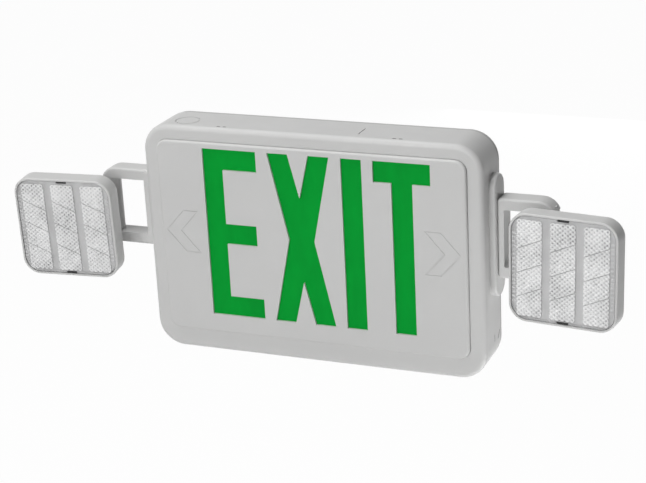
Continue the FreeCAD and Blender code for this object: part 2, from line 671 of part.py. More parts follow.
# ---------------------------------------------------------------------------
# Electrical parts on the back plate
# ---------------------------------------------------------------------------
posts = []
for k, (sx, sz) in enumerate(((-1, -1), (1, -1), (-1, 1), (1, 1))):
    posts.append(cylinder(
        "Post_%d" % k, "charger_post_width/2", "charger_post",
        ("charger_x + %d*(charger_width/2 - charger_margin)" % sx, "-back_floor - charger_post",
         "charger_z + %d*(charger_height/2 - charger_margin)" % sz), axis="Y"))
board = box(
    "ChargerSheet", ("charger_width", "board_thick", "charger_height"),
    ("charger_x - charger_width/2", "-back_floor - charger_post - board_thick",
     "charger_z - charger_height/2"))
TOP_OF_BOARD = "-back_floor - charger_post - board_thick"
capacitor = cylinder(
    "Capacitor", "capacitor_radius", "capacitor_height",
    ("charger_x - charger_width/4", TOP_OF_BOARD + " - capacitor_height",
     "charger_z + charger_height/4"), axis="Y")
relay = box(
    "Relay", ("relay_width", "relay_depth", "relay_height"),
    ("charger_x + charger_margin", TOP_OF_BOARD + " - relay_depth", "charger_z + charger_margin"))
sink = box(
    "HeatSink", ("sink_width", "sink_depth", "sink_height"),
    ("charger_x - 2*charger_margin", TOP_OF_BOARD + " - sink_depth",
     "charger_z - charger_margin/2 - sink_height"))
socket = box(
    "Plug", ("plug_width", "plug_depth", "plug_height"),
    ("charger_x + 2*charger_margin", TOP_OF_BOARD + " - plug_depth",
     "charger_z - charger_height/2 + charger_margin"))
node(fuse("ChargerBoard", posts + [board, capacitor, relay, sink, socket]), "charger_board")

core = box(
    "Core", ("transformer_width", "transformer_core", "transformer_height"),
    ("transformer_x - transformer_width/2", "-back_floor - transformer_coil/2 - transformer_core/2",
     "transformer_z - transformer_height/2"))
coil = box(
    "Coil", ("transformer_width*0.62", "transformer_coil", "transformer_height*0.72"),
    ("transformer_x - transformer_width*0.31", "-back_floor - transformer_coil",
     "transformer_z - transformer_height*0.36"))
node(fuse("Transformer", [core, coil]), "transformer")

cells = []
for k, x in enumerate(spread(int(number("cell_count")), "(2*cell_radius - 0.6)")):
    cells.append(cylinder(
        "Cell_%d" % k, "cell_radius", "cell_length",
        ("battery_x + " + x, "-back_floor - cell_radius", "battery_z - cell_length/2")))
node(fuse("BatteryPack", cells), "battery_pack")

PACK = "((cell_count - 1)*(2*cell_radius - 0.6) + 2*cell_radius)"
strap_top = box(
    "StrapTop", (PACK + " + 2*(slip_gap + strap_thick)", "strap_thick", "strap_width"),
    ("battery_x - %s/2 - slip_gap - strap_thick" % PACK,
     "-back_floor - 2*cell_radius - slip_gap - strap_thick", "battery_z - strap_width/2"))
legs = []
for label, sign in (("left", -1), ("right", 1)):
    side = "(%s/2 + slip_gap)" % PACK
    low = ("battery_x - %s - strap_thick" % side) if sign < 0 else ("battery_x + %s" % side)
    foot = ("battery_x - %s - strap_foot" % side) if sign < 0 else ("battery_x + %s" % side)
    legs.append(box(
        "StrapLeg_" + label,
        ("strap_thick", "2*cell_radius + slip_gap + strap_thick", "strap_width"),
        (low, "-back_floor - 2*cell_radius - slip_gap - strap_thick", "battery_z - strap_width/2")))
    legs.append(box(
        "StrapFoot_" + label, ("strap_foot", "strap_thick", "strap_width"),
        (foot, "-back_floor - strap_thick", "battery_z - strap_width/2")))
node(fuse("BatteryStrap", [strap_top] + legs), "battery_strap")

block = box(
    "TerminalBlock", ("terminal_width", "terminal_depth", "terminal_height"),
    ("terminal_x - terminal_width/2", "-back_floor - terminal_depth",
     "terminal_z - terminal_height/2"))
poles = []
for k, x in enumerate(spread(3, "terminal_width/3")):
    poles.append(cylinder(
        "Pole_%d" % k, "terminal_pole/2", "terminal_height + 2",
        ("terminal_x + " + x, "-back_floor - terminal_depth/2 + 2", "terminal_z - terminal_height/2 - 1")))
    poles.append(cylinder(
        "PoleScrew_%d" % k, "terminal_pole/2", "terminal_depth/2",
        ("terminal_x + " + x, "-back_floor - terminal_depth - 1", "terminal_z"), axis="Y"))
node(cut("TerminalCut", block, poles), "terminal_block")

# ---------------------------------------------------------------------------
# Test button, its spring and switch, and the status lamp
# ---------------------------------------------------------------------------
BOTTOM = "-housing_height/2"
INNER = "(housing_wall - housing_height/2)"
button_parts = [
    cylinder("ButtonCap", "button_radius", "button_reach + housing_wall + fit_gap",
             ("button_x", "-button_depth", BOTTOM + " - button_reach")),
    cylinder("ButtonFlange", "button_flange", "button_flange_thick",
             ("button_x", "-button_depth", INNER + " + fit_gap")),
    cylinder("ButtonStem", "button_stem", "button_stem_length + button_flange_thick",
             ("button_x", "-button_depth", INNER + " + fit_gap")),
]
node(fuse("TestButton", button_parts), "test_button")

SPRING_LOW = INNER + " + fit_gap + button_flange_thick"
WIRE_SIDES = 8
pitch = (number("spring_length") - 2 * number("spring_wire")) / number("spring_turns")
helix = Part.makeHelix(pitch, pitch * number("spring_turns"), number("spring_radius"))
rim_points = []
for k in range(WIRE_SIDES + 1):
    spoke = Rotation(Vector(0, 1, 0), 360.0 * k / WIRE_SIDES).multVec(Vector(number("spring_wire") / 2, 0, 0))
    rim_points.append(Vector(number("spring_radius"), 0, 0) + spoke)
section = Part.makePolygon(rim_points)
coil_shape = Part.Wire(helix.Edges).makePipeShell([section], True, True)
spring = DOC.addObject("Part::Feature", "ReturnSpring")
spring.Shape = coil_shape
node(spring, "button_spring", Placement(Vector(
    number("button_x"), -number("button_depth"), number(SPRING_LOW) + number("spring_wire") * 0.55),
    Rotation()))

SWITCH_LOW = SPRING_LOW + " + spring_length"
switch = box(
    "TestSwitch", ("switch_size", "switch_size", "switch_height"),
    ("button_x - switch_size/2", "-button_depth - switch_size/2", SWITCH_LOW))
bracket = box(
    "SwitchBracket", ("switch_size", "button_depth - back_floor - switch_size/2", "board_thick"),
    ("button_x - switch_size/2", "-button_depth + switch_size/2",
     SWITCH_LOW + " + switch_height - board_thick"))
node(fuse("SwitchBody", [switch, bracket]), "test_switch")

lamp_parts = [
    cylinder("StatusLens", "status_radius", "status_reach + housing_wall",
             ("status_x", "-button_depth", BOTTOM + " - status_reach")),
    cylinder("StatusFlange", "status_flange", "1", ("status_x", "-button_depth", INNER)),
    cylinder("StatusBody", "status_radius", "status_body", ("status_x", "-button_depth", INNER)),
]
node(fuse("StatusLamp", lamp_parts), "status_lamp")


# ---------------------------------------------------------------------------
# Side arms: an oblong base and a loop whose outer post is a round journal
# ---------------------------------------------------------------------------
SIDES = (("left", -1), ("right", 1))


def arm_frame(side):
    """The arm's own frame, on the housing's side wall, looking outwards."""
    turn = Rotation() if side > 0 else Rotation(Vector(0, 0, 1), 180)
    spot = Vector(side * number("housing_width") / 2, -number("arm_depth"), number("arm_rise"))
    return Placement(spot, turn)


def build_arm(tag, side):
    frame = arm_frame(side)
    base = new_body("ArmBase_" + tag)
    oblong = rounded_sketch(
        base, "BaseOutline", [("arm_base_width", "arm_base_length", "arm_base_corner")],
        role="YZ_Plane")
    slab = pad(base, "BaseSlab", oblong, "arm_base_thick")
    round_edges(base, "BaseEdge", slab, "arm_base_edge",
                flat_edges(slab.Shape, "X", number("arm_base_thick")))
    bar_level = "(arm_height/2 - arm_bar/2)"
    for label, y in (("High", bar_level), ("Low", "-" + bar_level)):
        hole = circle_sketch(
            base, "Base%sSketch" % label, ["arm_screw_radius + fit_gap"], role="YZ_Plane", y=y)
        pocket(base, "Base%sHole" % label, hole, "arm_base_thick + 1", reverse=True)
    node(base, "arm_base_" + tag, frame)

    loop = new_body("Arm_" + tag)
    outer = rounded_sketch(
        loop, "LoopOutline", [("arm_reach", "arm_height", "arm_root_corner")],
        centred=False, outer_radius="arm_corner", x="arm_base_thick")
    block = pad(loop, "LoopBlock", outer, "arm_thick", middle=True)
    rims = []
    for level in (-0.5, 0.5):
        rims += flat_edges(block.Shape, "Y", level * number("arm_thick"))
    round_edges(loop, "LoopEdge", block, "arm_edge", rims)
    gap = rounded_sketch(
        loop, "LoopGap", [("arm_reach", "arm_height - 2*arm_bar", "1.5")],
        centred=False, x="arm_base_thick + arm_root_wall")
    pocket(loop, "LoopOpening", gap, "arm_thick + 2", middle=True)
    root = rounded_sketch(
        loop, "RootBack", [("arm_root_wall", "arm_height - 2*arm_edge", "1")],
        role="XZ_Plane", offset="-arm_base_width/2 + arm_root_back",
        x="arm_base_thick + arm_root_wall/2")
    pad(loop, "RootRib", root, "arm_base_width/2 - arm_root_back")
    post = circle_sketch(
        loop, "JournalSketch", ["journal_radius"], role="XY_Plane", x="arm_base_thick + pan_reach")
    pad(loop, "Journal", post, "arm_height - 1.2*arm_bar", middle=True)
    for label, y in (("High", bar_level), ("Low", "-" + bar_level)):
        hole = circle_sketch(
            loop, "Pilot%sSketch" % label, ["arm_screw_radius + fit_gap"], role="YZ_Plane",
            offset="arm_base_thick", y=y)
        pocket(loop, "Pilot" + label, hole, "arm_screw_grip + 0.5", reverse=True)
    node(loop, "arm_" + tag, frame)

    screws = []
    for label, z in (("high", bar_level), ("low", "-" + bar_level)):
        shank = cylinder(
            "ArmScrew_%s_%s" % (tag, label), "arm_screw_radius",
            "housing_wall + arm_base_thick + arm_screw_grip", ("-housing_wall", "0", z), axis="X")
        cap = cylinder(
            "ArmScrewHead_%s_%s" % (tag, label), "arm_screw_head", "arm_screw_head_thick",
            ("-housing_wall - arm_screw_head_thick", "0", z), axis="X")
        screws.append(fuse("ArmScrewWhole_%s_%s" % (tag, label), [shank, cap]))
    pair = DOC.addObject("Part::Compound", "ArmScrews_" + tag)
    pair.Links = screws
    node(pair, "arm_screws_" + tag, frame)


# ---------------------------------------------------------------------------
# Swivel: a two-part clamp on the journal, with a barrel for the tilt pin.
# It is drawn about the pan axis. The left one is turned over, so its web is
# drawn above the middle instead of below.
# ---------------------------------------------------------------------------
def pan_frame(tag, side):
    """Frame of the swivel: on the journal, turned by the rest pan angle."""
    out = number("housing_width/2 + arm_base_thick + pan_reach")
    spot = Vector(side * out, -number("arm_depth"), number("arm_rise"))
    turned = Placement(spot, Rotation(Vector(0, 0, 1), number(tag + "_pan")))
    if side > 0:
        return turned
    return turned * Placement(Vector(), Rotation(Vector(0, 1, 0), 180))


def build_swivel(tag, side):
    frame = pan_frame(tag, side)
    drop = "(-tilt_drop)" if side > 0 else "tilt_drop"
    length = "(arm_height - 2*arm_bar - 2*clamp_end_gap)"
    bore = "journal_radius + running_gap"
    front = [
        cylinder("ClampFront_" + tag, "clamp_radius", length, ("0", "0", "-%s/2" % length),
                 angle=180, turn=180),
        box("FlangeFront_" + tag, ("flange_reach", "flange_thick", "flange_height"),
            ("0", "-flange_thick", "-flange_height/2")),
        box("WebOut_" + tag,
            ("tilt_reach + barrel_length/2", "web_front - web_back", "web_height"),
            ("0", "-web_front", drop + " - web_height/2")),
        box("WebForward_" + tag, ("barrel_length", "tilt_forward - web_front", "web_height"),
            ("tilt_reach - barrel_length/2", "-tilt_forward", drop + " - web_height/2")),
        cylinder("Barrel_" + tag, "barrel_radius", "barrel_length",
                 ("tilt_reach - barrel_length/2", "-tilt_forward", drop), axis="X"),
    ]
    holes = [
        cylinder("ClampBoreFront_" + tag, bore, length + " + 2", ("0", "0", "-%s/2 - 1" % length)),
        cylinder("BarrelBore_" + tag, "tilt_pin_radius + running_gap", "barrel_length + 2",
                 ("tilt_reach - barrel_length/2 - 1", "-tilt_forward", drop), axis="X"),
    ]
    screws = []
    back_holes = [
        cylinder("ClampBoreBack_" + tag, bore, length + " + 2", ("0", "0", "-%s/2 - 1" % length))]
    for k, z in enumerate(spread(2, "clamp_screw_spacing")):
        holes.append(cylinder(
            "ScrewPilot_%s_%d" % (tag, k), "clamp_screw_radius + fit_gap", "flange_thick",
            ("clamp_screw_x", "0.5 - flange_thick", z), axis="Y"))
        back_holes.append(cylinder(
            "ScrewPass_%s_%d" % (tag, k), "clamp_screw_radius + fit_gap", "flange_thick + 2",
            ("clamp_screw_x", "-1", z), axis="Y"))
        shank = cylinder(
            "ClampShank_%s_%d" % (tag, k), "clamp_screw_radius", "2*flange_thick - 1",
            ("clamp_screw_x", "1 - flange_thick", z), axis="Y")
        cap = cylinder(
            "ClampHead_%s_%d" % (tag, k), "clamp_screw_head", "clamp_screw_head_thick",
            ("clamp_screw_x", "flange_thick", z), axis="Y")
        screws.append(fuse("ClampScrew_%s_%d" % (tag, k), [shank, cap]))
    node(cut("Knuckle_" + tag, fuse("KnuckleBlock_" + tag, front), holes), "swivel_" + tag, frame)
    back = [
        cylinder("ClampBack_" + tag, "clamp_radius", length, ("0", "0", "-%s/2" % length),
                 angle=180),
        box("FlangeBack_" + tag, ("flange_reach", "flange_thick", "flange_height"),
            ("0", "0", "-flange_height/2")),
    ]
    node(cut("ClampCap_" + tag, fuse("ClampBlock_" + tag, back), back_holes),
         "swivel_clamp_" + tag, frame)
    pair = DOC.addObject("Part::Compound", "ClampScrews_" + tag)
    pair.Links = screws
    node(pair, "clamp_screws_" + tag, frame)


# ---------------------------------------------------------------------------
# Lamp head: drawn about the tilt axis, looking along -Y
# ---------------------------------------------------------------------------
def head_frame(tag, side):
    """Frame of the head: on the tilt axis, turned by the rest pan and tilt."""
    out = number("housing_width/2 + arm_base_thick + pan_reach")
    spot = Vector(side * out, -number("arm_depth"), number("arm_rise"))
    pan = Placement(spot, Rotation(Vector(0, 0, 1), number(tag + "_pan")))
    hinge = Placement(
        Vector(side * number("tilt_reach"), -number("tilt_forward"), -number("tilt_drop")),
        Rotation(Vector(1, 0, 0), number(tag + "_tilt")))
    return pan * hinge


def build_head(tag, side):
    frame = head_frame(tag, side)
    head_front = "(head_back + head_depth)"

    shell = new_body("HeadShell_" + tag)
    square = rounded_sketch(
        shell, "ShellOutline", [("head_size", "head_size", "head_corner")], offset="head_back")
    block = pad(shell, "ShellBlock", square, "head_depth")
    soft = round_edges(shell, "ShellBackEdge", block, "head_back_edge",
                       flat_edges(block.Shape, "Y", -number("head_back")))
    round_edges(shell, "ShellFrontEdge", soft, "head_front_edge",
                flat_edges(soft.Shape, "Y", -number(head_front)))
    hollow = rounded_sketch(
        shell, "ShellHollow",
        [("head_size - 2*head_wall", "head_size - 2*head_wall", "head_corner - head_wall")],
        offset=head_front)
    pocket(shell, "ShellInside", hollow, "head_depth - head_wall")
    for label, x in (
        ("Inner", "-barrel_length/2 - ear_gap - ear_thick"), ("Outer", "barrel_length/2 + ear_gap"),
    ):
        root = rounded_sketch(
            shell, "Ear%sRoot" % label, [("head_back + head_wall*0.5", "2*ear_radius", "0.4")],
            role="YZ_Plane", offset=x, x="-head_back/2 - head_wall*0.25")
        pad(shell, "Ear%sLeg" % label, root, "ear_thick")
        end = circle_sketch(shell, "Ear%sEnd" % label, ["ear_radius"], role="YZ_Plane", offset=x)
        pad(shell, "Ear%sTip" % label, end, "ear_thick")
    bore = circle_sketch(shell, "EarBore", ["tilt_pin_radius + running_gap"], role="YZ_Plane")
    pocket(shell, "EarHole", bore, "barrel_length + 4*ear_thick", middle=True)
    node(shell, "head_shell_" + tag, frame)

    pin = fuse("TiltPin_" + tag, [
        cylinder("PinShank_" + tag, "tilt_pin_radius", "barrel_length + 2*(ear_gap + ear_thick)",
                 ("-barrel_length/2 - ear_gap - ear_thick", "0", "0"), axis="X"),
        cylinder("PinHead_" + tag, "tilt_pin_head", "tilt_pin_head_thick",
                 ("barrel_length/2 + ear_gap + ear_thick", "0", "0"), axis="X"),
    ])
    node(pin, "tilt_pin_" + tag, frame)

    # chip board on the back wall, with the reflector in front of it
    inner = "(head_size - 2*head_wall - 2*reflector_margin)"
    inner_corner = "head_corner - head_wall - reflector_margin"
    board = new_body("HeadBoard_" + tag)
    board_outline = rounded_sketch(
        board, "BoardOutline", [(inner, inner, inner_corner)], offset="head_back + head_wall")
    pad(board, "BoardSheet", board_outline, "board_thick")
    node(board, "head_board_" + tag, frame)

    rows = int(number("optic_rows"))
    columns = int(number("optic_columns"))
    row_pitch = "(optic_height/optic_rows)"
    chip_front = "-head_back - head_wall - board_thick - head_chip_thick"
    chips = []
    cups = []
    for k, x in enumerate(spread(columns, "optic_pitch")):
        for j, z in enumerate(spread(rows, row_pitch)):
            chips.append(box(
                "HeadChip_%s_%d_%d" % (tag, k, j),
                ("head_chip_size", "head_chip_thick", "head_chip_size"),
                (x + " - head_chip_size/2", chip_front, z + " - head_chip_size/2")))
            cup = DOC.addObject("Part::Wedge", "Cup_%s_%d_%d" % (tag, k, j))
            for prop, text in (
                ("Xmin", "0"), ("Xmax", "optic_pitch - reflector_wall"),
                ("Zmin", "0"), ("Zmax", row_pitch + " - reflector_wall"),
                ("Ymin", "0"), ("Ymax", "reflector_depth"),
                ("X2min", "(optic_pitch - reflector_wall - cup_throat)/2"),
                ("X2max", "(optic_pitch - reflector_wall + cup_throat)/2"),
                ("Z2min", "(%s - reflector_wall - cup_throat)/2" % row_pitch),
                ("Z2max", "(%s - reflector_wall + cup_throat)/2" % row_pitch),
            ):
                cup.setExpression(prop, bind(text))
            put(cup, (x + " - (optic_pitch - reflector_wall)/2",
                      "-head_back - head_wall - board_thick - reflector_depth",
                      z + " - (%s - reflector_wall)/2" % row_pitch))
            cups.append(cup)
    lamps = DOC.addObject("Part::Compound", "HeadChips_" + tag)
    lamps.Links = chips
    node(lamps, "head_lamps_" + tag, frame)

    mirror = new_body("ReflectorBody_" + tag)
    mirror_outline = rounded_sketch(
        mirror, "ReflectorOutline", [(inner, inner, inner_corner)],
        offset="head_back + head_wall + board_thick")
    pad(mirror, "ReflectorBlock", mirror_outline, "reflector_depth")
    node(cut("Reflector_" + tag, mirror, cups), "head_reflector_" + tag, frame)

    # lens: plate with a skirt, three raised optic columns and two clip notches
    lens = new_body("HeadLens_" + tag)
    lens_size = "(head_size - 2*head_wall - 2*lens_gap)"
    lens_corner = "head_corner - head_wall - lens_gap"
    lens_front = "(" + head_front + " - lens_recess)"
    lens_outline = rounded_sketch(
        lens, "LensOutline", [(lens_size, lens_size, lens_corner)],
        offset=lens_front + " - lens_skirt")
    lens_block = pad(lens, "LensBlock", lens_outline, "lens_skirt")
    round_edges(lens, "LensEdge", lens_block, "head_front_edge",
                flat_edges(lens_block.Shape, "Y", -number(lens_front)))
    lens_inside = rounded_sketch(
        lens, "LensInside",
        [(lens_size + " - 2*lens_skirt_wall", lens_size + " - 2*lens_skirt_wall",
          lens_corner + " - lens_skirt_wall")], offset=lens_front + " - lens_skirt")
    pocket(lens, "LensHollow", lens_inside, "lens_skirt - lens_thick", reverse=True)
    for k, x in enumerate(spread(columns, "optic_pitch")):
        column = rounded_sketch(
            lens, "Column%dSketch" % k, [("optic_width", "optic_height", "optic_corner")],
            offset=lens_front, x=x)
        pad(lens, "Column%d" % k, column, "lens_pad_raise")
    for label, y in (("Top", "(%s/2 - clip_height/2)" % lens_size),
                     ("Low", "-(%s/2 - clip_height/2)" % lens_size)):
        notch = rounded_sketch(
            lens, "Clip%sSketch" % label, [("clip_width", "clip_height + 0.02", "0.4")],
            offset=lens_front, y=y)
        pocket(lens, "Clip" + label, notch, "lens_skirt*0.6")
    node(lens, "head_lens_" + tag, frame)


for tag, side in SIDES:
    build_arm(tag, side)
    build_swivel(tag, side)
    build_head(tag, side)

# ---------------------------------------------------------------------------
# Check and write
# ---------------------------------------------------------------------------
DOC.recompute()
for obj in DOC.Objects:
    if "Invalid" in obj.State or "Error" in obj.State:
        raise RuntimeError("failed object: " + obj.Name)
for obj in NODES:
    if obj.Shape.isNull() or not obj.Shape.isValid():
        raise RuntimeError("bad shape: " + obj.Label)
os.makedirs("parts", exist_ok=True)
for obj in NODES:
    obj.Shape.exportStep(os.path.join("parts", obj.Label + ".step"))
    bounds = obj.Shape.BoundBox
    print("%-24s solids %2d  volume %9.0f  x %7.1f %7.1f  y %7.1f %7.1f  z %7.1f %7.1f" % (
        obj.Label, len(obj.Shape.Solids), obj.Shape.Volume,
        bounds.XMin, bounds.XMax, bounds.YMin, bounds.YMax, bounds.ZMin, bounds.ZMax))
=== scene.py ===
"""Emergency exit light: legend panel, lamp lenses, screws, finishes and a plain studio.

Sizes are millimetres in the panels and metres in the meshes. The frame gives every
position: +Z is up, the legend faces -Y and the wall is the plane Y = 0.
"""

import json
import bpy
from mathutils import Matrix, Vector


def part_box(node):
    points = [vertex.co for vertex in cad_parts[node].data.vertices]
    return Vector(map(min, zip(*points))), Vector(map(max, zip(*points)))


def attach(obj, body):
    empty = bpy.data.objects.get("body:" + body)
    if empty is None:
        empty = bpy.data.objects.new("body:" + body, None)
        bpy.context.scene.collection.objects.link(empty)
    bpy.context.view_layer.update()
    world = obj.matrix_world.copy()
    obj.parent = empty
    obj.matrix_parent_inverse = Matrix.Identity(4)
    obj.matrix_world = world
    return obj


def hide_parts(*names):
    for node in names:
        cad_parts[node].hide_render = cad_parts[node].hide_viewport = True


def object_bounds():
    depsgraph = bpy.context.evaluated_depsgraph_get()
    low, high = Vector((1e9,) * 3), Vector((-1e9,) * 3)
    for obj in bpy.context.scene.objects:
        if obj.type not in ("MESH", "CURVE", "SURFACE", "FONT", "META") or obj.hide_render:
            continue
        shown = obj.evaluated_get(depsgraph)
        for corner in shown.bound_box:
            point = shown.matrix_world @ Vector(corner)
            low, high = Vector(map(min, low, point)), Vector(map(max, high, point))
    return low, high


bl_info = {
    "name": "Emergency Exit Light",
    "version": (1, 0, 0),
    "blender": (4, 5, 0),
    "location": "View3D > Sidebar > Exit Light",
    "description": "Dresses the exit light's frame with its legend, lenses, screws and finishes",
    "category": "Object",
}

from math import atan2, cos, pi, radians, sin
from random import Random

import bpy
from bpy.props import FloatProperty, FloatVectorProperty, IntProperty, PointerProperty
from mathutils import Matrix, Vector

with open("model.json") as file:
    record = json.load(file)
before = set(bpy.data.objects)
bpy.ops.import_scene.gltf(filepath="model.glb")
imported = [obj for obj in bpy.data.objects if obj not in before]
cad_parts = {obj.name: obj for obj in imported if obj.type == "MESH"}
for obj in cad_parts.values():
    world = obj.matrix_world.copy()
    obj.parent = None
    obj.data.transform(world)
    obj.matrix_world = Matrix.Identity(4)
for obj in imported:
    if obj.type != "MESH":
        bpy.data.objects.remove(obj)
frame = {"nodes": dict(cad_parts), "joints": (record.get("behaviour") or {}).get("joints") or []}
CAD_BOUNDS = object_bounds()

MM = 0.001
SIDES = (("left", -1), ("right", 1))
FINISHES = {}

# The camera looks at this point, and so do the lamps that name no other.
MIDDLE = (0.0007, -0.0241, -0.0003)
LAMPS = (
    # name, setting with its power, diameter in metres, place, point it is aimed at
    ("key_light", "key_power", 1.4, (-0.35, -2.3, 1.05), MIDDLE),
    ("top_light", "top_power", 1.4, (-0.6, -0.3, 2.1), MIDDLE),
    ("fill_light", "fill_power", 1.2, (0.4, -2.0, -0.1), MIDDLE),
    ("side_light", "side_power", 0.4, (0.75, -0.5, -0.36), MIDDLE),
    ("back_light", "back_power", 1.0, (0.0, 1.8, -0.3), MIDDLE),
    ("under_light", "under_power", 0.2, (0.36, -0.04, -0.34), (0.16, -0.02, 0.0)),
)
WHITE = (1.0, 1.0, 1.0, 1.0)

# Height and painted brightness of a prism's corner, ridge and top in the lens's pattern: painted
# shade at the corners, painted highlight on the tops.
CREST_AND_SHADE_LEVELS = (0.0, 0.7, 1.0)


# ---------------------------------------------------------------------------
# Mesh helpers
# ---------------------------------------------------------------------------
def pick(obj):
    """Select one object alone and make it the active one."""
    bpy.ops.object.select_all(action="DESELECT")
    obj.select_set(True)
    bpy.context.view_layer.objects.active = obj


def edit(obj, test=None):
    """Open a mesh in edit mode, with the faces that pass the test selected, or all."""
    pick(obj)
    bpy.ops.object.mode_set(mode="EDIT")
    bpy.ops.mesh.select_mode(type="FACE")
    bpy.ops.mesh.select_all(action="SELECT" if test is None else "DESELECT")
    if test is not None:
        bpy.ops.object.mode_set(mode="OBJECT")
        for face in obj.data.polygons:
            face.select = test(face)
        bpy.ops.object.mode_set(mode="EDIT")


def close(obj, outward=False):
    """Leave edit mode, with the faces turned outwards if asked."""
    if outward:
        bpy.ops.mesh.select_all(action="SELECT")
        bpy.ops.mesh.normals_make_consistent(inside=False)
    bpy.ops.object.mode_set(mode="OBJECT")
    return obj


def copy_of(node, name):
    """A piece that starts as a CAD node's mesh, with its loose triangles merged."""
    obj = bpy.data.objects.new(name, frame["nodes"][node].data.copy())
    bpy.context.scene.collection.objects.link(obj)
    obj.data.materials.clear()
    pick(obj)
    bpy.ops.mesh.customdata_custom_splitnormals_clear()
    edit(obj)
    bpy.ops.mesh.remove_doubles(threshold=1e-6)
    return close(obj)


def prism(corners, front, back):
    """A straight-sided block between two depths, from an outline of (x, z) corners."""
    bpy.ops.object.select_all(action="DESELECT")
    bpy.ops.mesh.primitive_circle_add(vertices=len(corners), fill_type="NGON")
    obj = bpy.context.active_object
    for vertex, (x, z) in zip(obj.data.vertices, corners):
        vertex.co = (x, front, z)
    edit(obj)
    bpy.ops.mesh.extrude_region_move(TRANSFORM_OT_translate={"value": (0, back - front, 0)})
    return close(obj, outward=True)


def carve(obj, cutter):
    """Take one shape out of a piece."""
    pick(obj)
    cut = obj.modifiers.new("Cut", "BOOLEAN")
    cut.operation = "DIFFERENCE"
    cut.solver = "EXACT"
    cut.object = cutter
    before = len(obj.data.polygons)
    bpy.ops.object.modifier_apply(modifier=cut.name)
    bpy.data.objects.remove(cutter)
    if len(obj.data.polygons) == before:
        raise RuntimeError("a cut took nothing from " + obj.name)


def join(pieces, name):
    """Join pieces into the first one."""
    pick(pieces[0])
    for piece in pieces:
        piece.select_set(True)
    bpy.ops.object.join()
    joined = bpy.context.active_object
    joined.name = name
    return joined


def twin(obj):
    """A copy of a piece with a mesh of its own."""
    copy = obj.copy()
    copy.data = obj.data.copy()
    bpy.context.scene.collection.objects.link(copy)
    return copy


def extent(node, inverse):
    """Least and greatest corner of a CAD node, in a place's own axes."""
    points = [inverse @ vertex.co for vertex in frame["nodes"][node].data.vertices]
    return (
        Vector([min(point[k] for point in points) for k in range(3)]),
        Vector([max(point[k] for point in points) for k in range(3)]),
    )


def flat_behind(obj, inverse, front):
    """How far the first wide flat behind a front face lies from it, in metres."""
    area = {}
    for face in obj.data.polygons:
        depth = round((inverse @ face.center).y - front, 5)
        if depth > 0.0003 and abs((inverse.to_3x3() @ face.normal).y) > 0.99:
            area[depth] = area.get(depth, 0) + face.area
    return min(depth for depth in area if area[depth] > 0.1 * max(area.values()))


def settle(obj, place):
    """Write a place into the object's mesh, with the object itself at the origin."""
    obj.data.transform(place)
    obj.matrix_world = Matrix.Identity(4)
    return obj


def soften(obj, angle=35):
    """Smooth shading that keeps the hard edges."""
    pick(obj)
    bpy.ops.object.shade_smooth_by_angle(angle=radians(angle))
    return obj


def fit(obj, body, slot, *nodes, finish=None):
    """Give a finished piece its material, slot and body, and the nodes it stands for."""
    obj.data.materials.clear()
    obj.data.materials.append(FINISHES[finish or slot])
    for face in obj.data.polygons:
        face.material_index = 0
    if nodes:
        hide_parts(*nodes)
    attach(obj, body)
    return obj


def joint(name):
    return [j for j in frame["joints"] if j["name"] == name][0]


def head_place(tag):
    """Matrix from a lamp head's own axes, on its tilt pin, to the frame."""
    tilt = joint(tag + "_head_tilt")
    across = Vector(tilt["axis"]).normalized()
    area = {}
    for face in frame["nodes"]["head_lens_" + tag].data.polygons:
        if abs(face.normal.dot(across)) < 0.01 and face.normal.y < 0:
            key = tuple(round(part, 3) for part in face.normal)
            area[key] = area.get(key, 0) + face.area
    ahead = Vector(max(area, key=area.get)).normalized()
    up = -across.cross(ahead)
    place = Matrix((across, -ahead, up)).transposed().to_4x4()
    place.translation = tilt["pos_m"]
    return place


def swivel_place(tag):
    """Matrix from a swivel's own axes, on its pan axis, to the frame."""
    tilt_axis = joint(tag + "_head_tilt")["axis"]
    turn = Matrix.Rotation(atan2(tilt_axis[1], tilt_axis[0]), 4, "Z")
    return Matrix.Translation(joint(tag + "_head_pan")["pos_m"]) @ turn


# ---------------------------------------------------------------------------
# Shader maths as expressions
# ---------------------------------------------------------------------------
class Value:
    """A shader socket that takes part in sums with other sockets and numbers."""

    def __init__(self, finish, socket):
        self.finish = finish
        self.socket = socket

    def maths(self, operation, *others):
        made = self.finish.node("Math", {"operation": operation}, dict(enumerate((self,) + others)))
        return self.finish.out(made)

    def flipped(self, operation, other):
        made = self.finish.node("Math", {"operation": operation}, {0: other, 1: self})
        return self.finish.out(made)

    def __add__(self, other):
        return self.maths("ADD", other)

    def __sub__(self, other):
        return self.maths("SUBTRACT", other)

    def __rsub__(self, other):
        return self.flipped("SUBTRACT", other)

    def __mul__(self, other):
        return self.maths("MULTIPLY", other)

    def __truediv__(self, other):
        return self.maths("DIVIDE", other)

    __radd__ = __add__
    __rmul__ = __mul__


